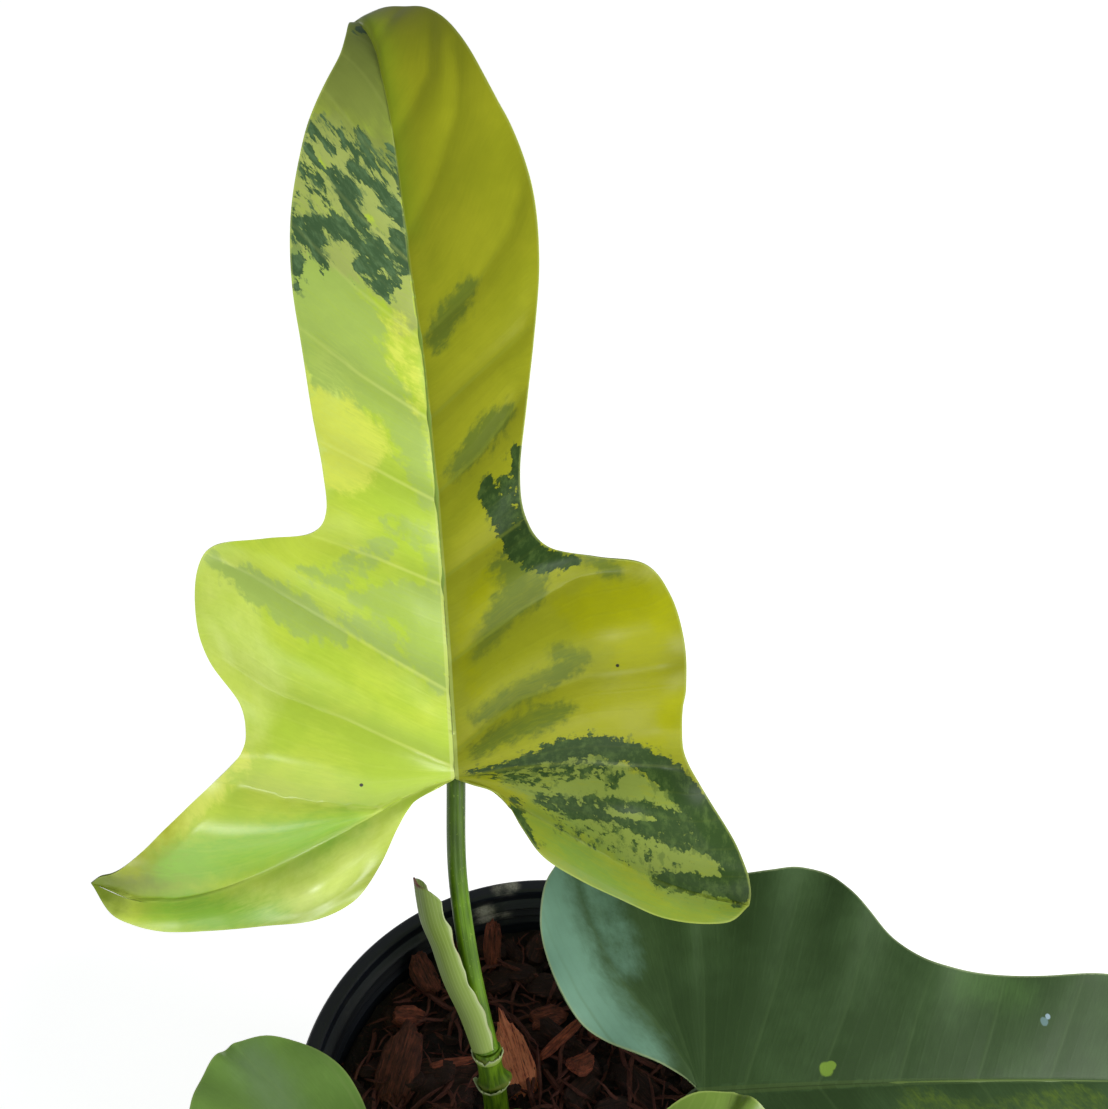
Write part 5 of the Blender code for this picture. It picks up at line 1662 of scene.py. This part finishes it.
# Pale smudges on the pot: place, reach, strength
POT_SMUDGES = (
    ((-0.0119, 0.0735, 0.134), 5.0, 0.9), ((-0.0165, 0.0715, 0.1335), 4.0, 0.6),
    ((-0.0205, 0.0665, 0.1265), 6.0, 0.9), ((-0.0140, 0.0690, 0.1255), 5.0, 0.7),
    ((-0.0415, 0.0560, 0.127), 3.5, 0.2),
)


def pot_paint():
    """Black moulded plastic, half glossy, with scuffs, water marks, a little dust and pale smudges.
    """
    paint = Paint("black plastic", Coat_Roughness=0.3, Specular_IOR_Level=0.5)
    place = paint.place()
    x, y, z = (paint.axis(place, name) for name in "XYZ")
    turn = paint.math("ARCTAN2", y, x)
    rings = paint.noise(paint.vector(turn * 0.6, z * 900, 0.0), 3.0, 0.6)
    specks = paint.local_noise((1500, 1500, 1500), 2.0)
    scuffs = paint.local_noise((120, 120, 700), 5.0, 0.65)
    marks = paint.local_noise((45, 45, 90), 4.0, 0.6)
    colour = paint.mix(paint.smooth(rings, 0.4, 0.7) * 0.5, ink(18, 22, 29), ink(30, 39, 55))
    dust = paint.smooth(marks + (scuffs - 0.5) * 0.6, 0.60, 0.82) * 0.14
    for spot, reach, strength in POT_SMUDGES:
        away = paint.node("ShaderNodeVectorMath", {"operation": "DISTANCE"},
                          {0: place, 1: spot}, 1) / MM
        near = 1 - paint.smooth(away + (scuffs - 0.5) * 6, reach * 0.2, reach)
        dust = dust + near * strength * (0.3 + specks)
    colour = paint.mix(paint.smooth(dust, 0.0, 1.0), colour, ink(176, 172, 160))
    rough = 0.36 + scuffs * 0.14 + dust * 0.5
    return paint.set(Base_Color=colour, Roughness=rough,
                     Normal=paint.bump(rings * 0.04 + specks * 0.03 + scuffs * 0.04))


FLOOR_SIZE = 6
FLOOR_GLOW = 0.75


def floor_paint():
    paint = Paint("pale floor")
    mottle = paint.local_noise((6, 6, 6), 3.0)
    colour = paint.mix(mottle, ink(243, 243, 242), ink(247, 247, 246))
    return paint.set(Base_Color=colour, Roughness=0.9, Emission_Color=(1, 1, 1, 1),
                     Emission_Strength=FLOOR_GLOW)


def make_plant():
    skins = {shade: stalk_paint(shade + " stalk skin", inks)
             for shade, inks in STALK_INKS.items()}
    for name, spec in LEAVES.items():
        leaf = Leaf(spec)
        make_blade(name, leaf)
        make_stalk(name, leaf, skins[spec["stalk_skin"]])
    make_stem(stem_paint())
    bract = sheath_paint()
    make_bract("sheath", [sheath_rows()], False, SHEATH_THICKNESS, bract, "cataphyll")
    make_bract("torn_scales", [scale_rows(*scale) for scale in TORN_SCALES], True,
               SCALE_THICKNESS, bract)


# Lamps: name, place, what it is aimed at, width, watts, colour
LAMPS = (
    ("window", (1.15, -0.59, 0.75), (0, 0, 0.22), 0.8, 17, (1.0, 0.99, 0.97)),
    ("front window", (-0.167, -1.35, 0.435), (-0.08, 0.03, 0.24), 0.36, 3, (0.96, 0.98, 1.0)),
)
SKY_COLOUR = (0.93, 0.97, 1.0, 1)
SKY_STRENGTH = 0.24


def soft_light(name, place, target, size, watts, colour):
    lamp = bpy.data.lights.new(name, "AREA")
    lamp.shape = "DISK"
    lamp.size = size
    lamp.energy = watts
    lamp.color = colour
    obj = bpy.data.objects.new(name, lamp)
    obj.location = place
    obj.rotation_euler = (Vector(target) - obj.location).to_track_quat("-Z", "Y").to_euler()
    bpy.context.scene.collection.objects.link(obj)


def make_studio():
    bpy.ops.mesh.primitive_plane_add(size=FLOOR_SIZE, location=(0, 0, 0))
    floor = bpy.context.object
    floor.name = "floor"
    floor.data.materials.append(floor_paint())
    for lamp in LAMPS:
        soft_light(*lamp)
    world = bpy.data.worlds.new("studio")
    bpy.context.scene.world = world
    world.use_nodes = True
    sky = world.node_tree.nodes["Background"]
    sky.inputs["Color"].default_value = SKY_COLOUR
    sky.inputs["Strength"].default_value = SKY_STRENGTH
    view = bpy.context.scene.view_settings
    view.view_transform = "Standard"


def make_camera():
    lens = bpy.data.cameras.new("camera")
    lens.sensor_fit = "HORIZONTAL"
    lens.angle = math.radians(CAMERA_WIDTH)
    lens.clip_start = 0.01
    camera = bpy.data.objects.new("camera", lens)
    camera.matrix_world = (Matrix.Translation(CAMERA_PLACE)
                           @ Matrix.Rotation(math.radians(90 - CAMERA_TILT), 4, "X"))
    bpy.context.scene.collection.objects.link(camera)
    bpy.context.scene.camera = camera


make_plant()
make_pot(pot_paint())
make_bark(bed_paint(), bark_paint("bark", 0.04), fibre_paint())
make_studio()
make_camera()
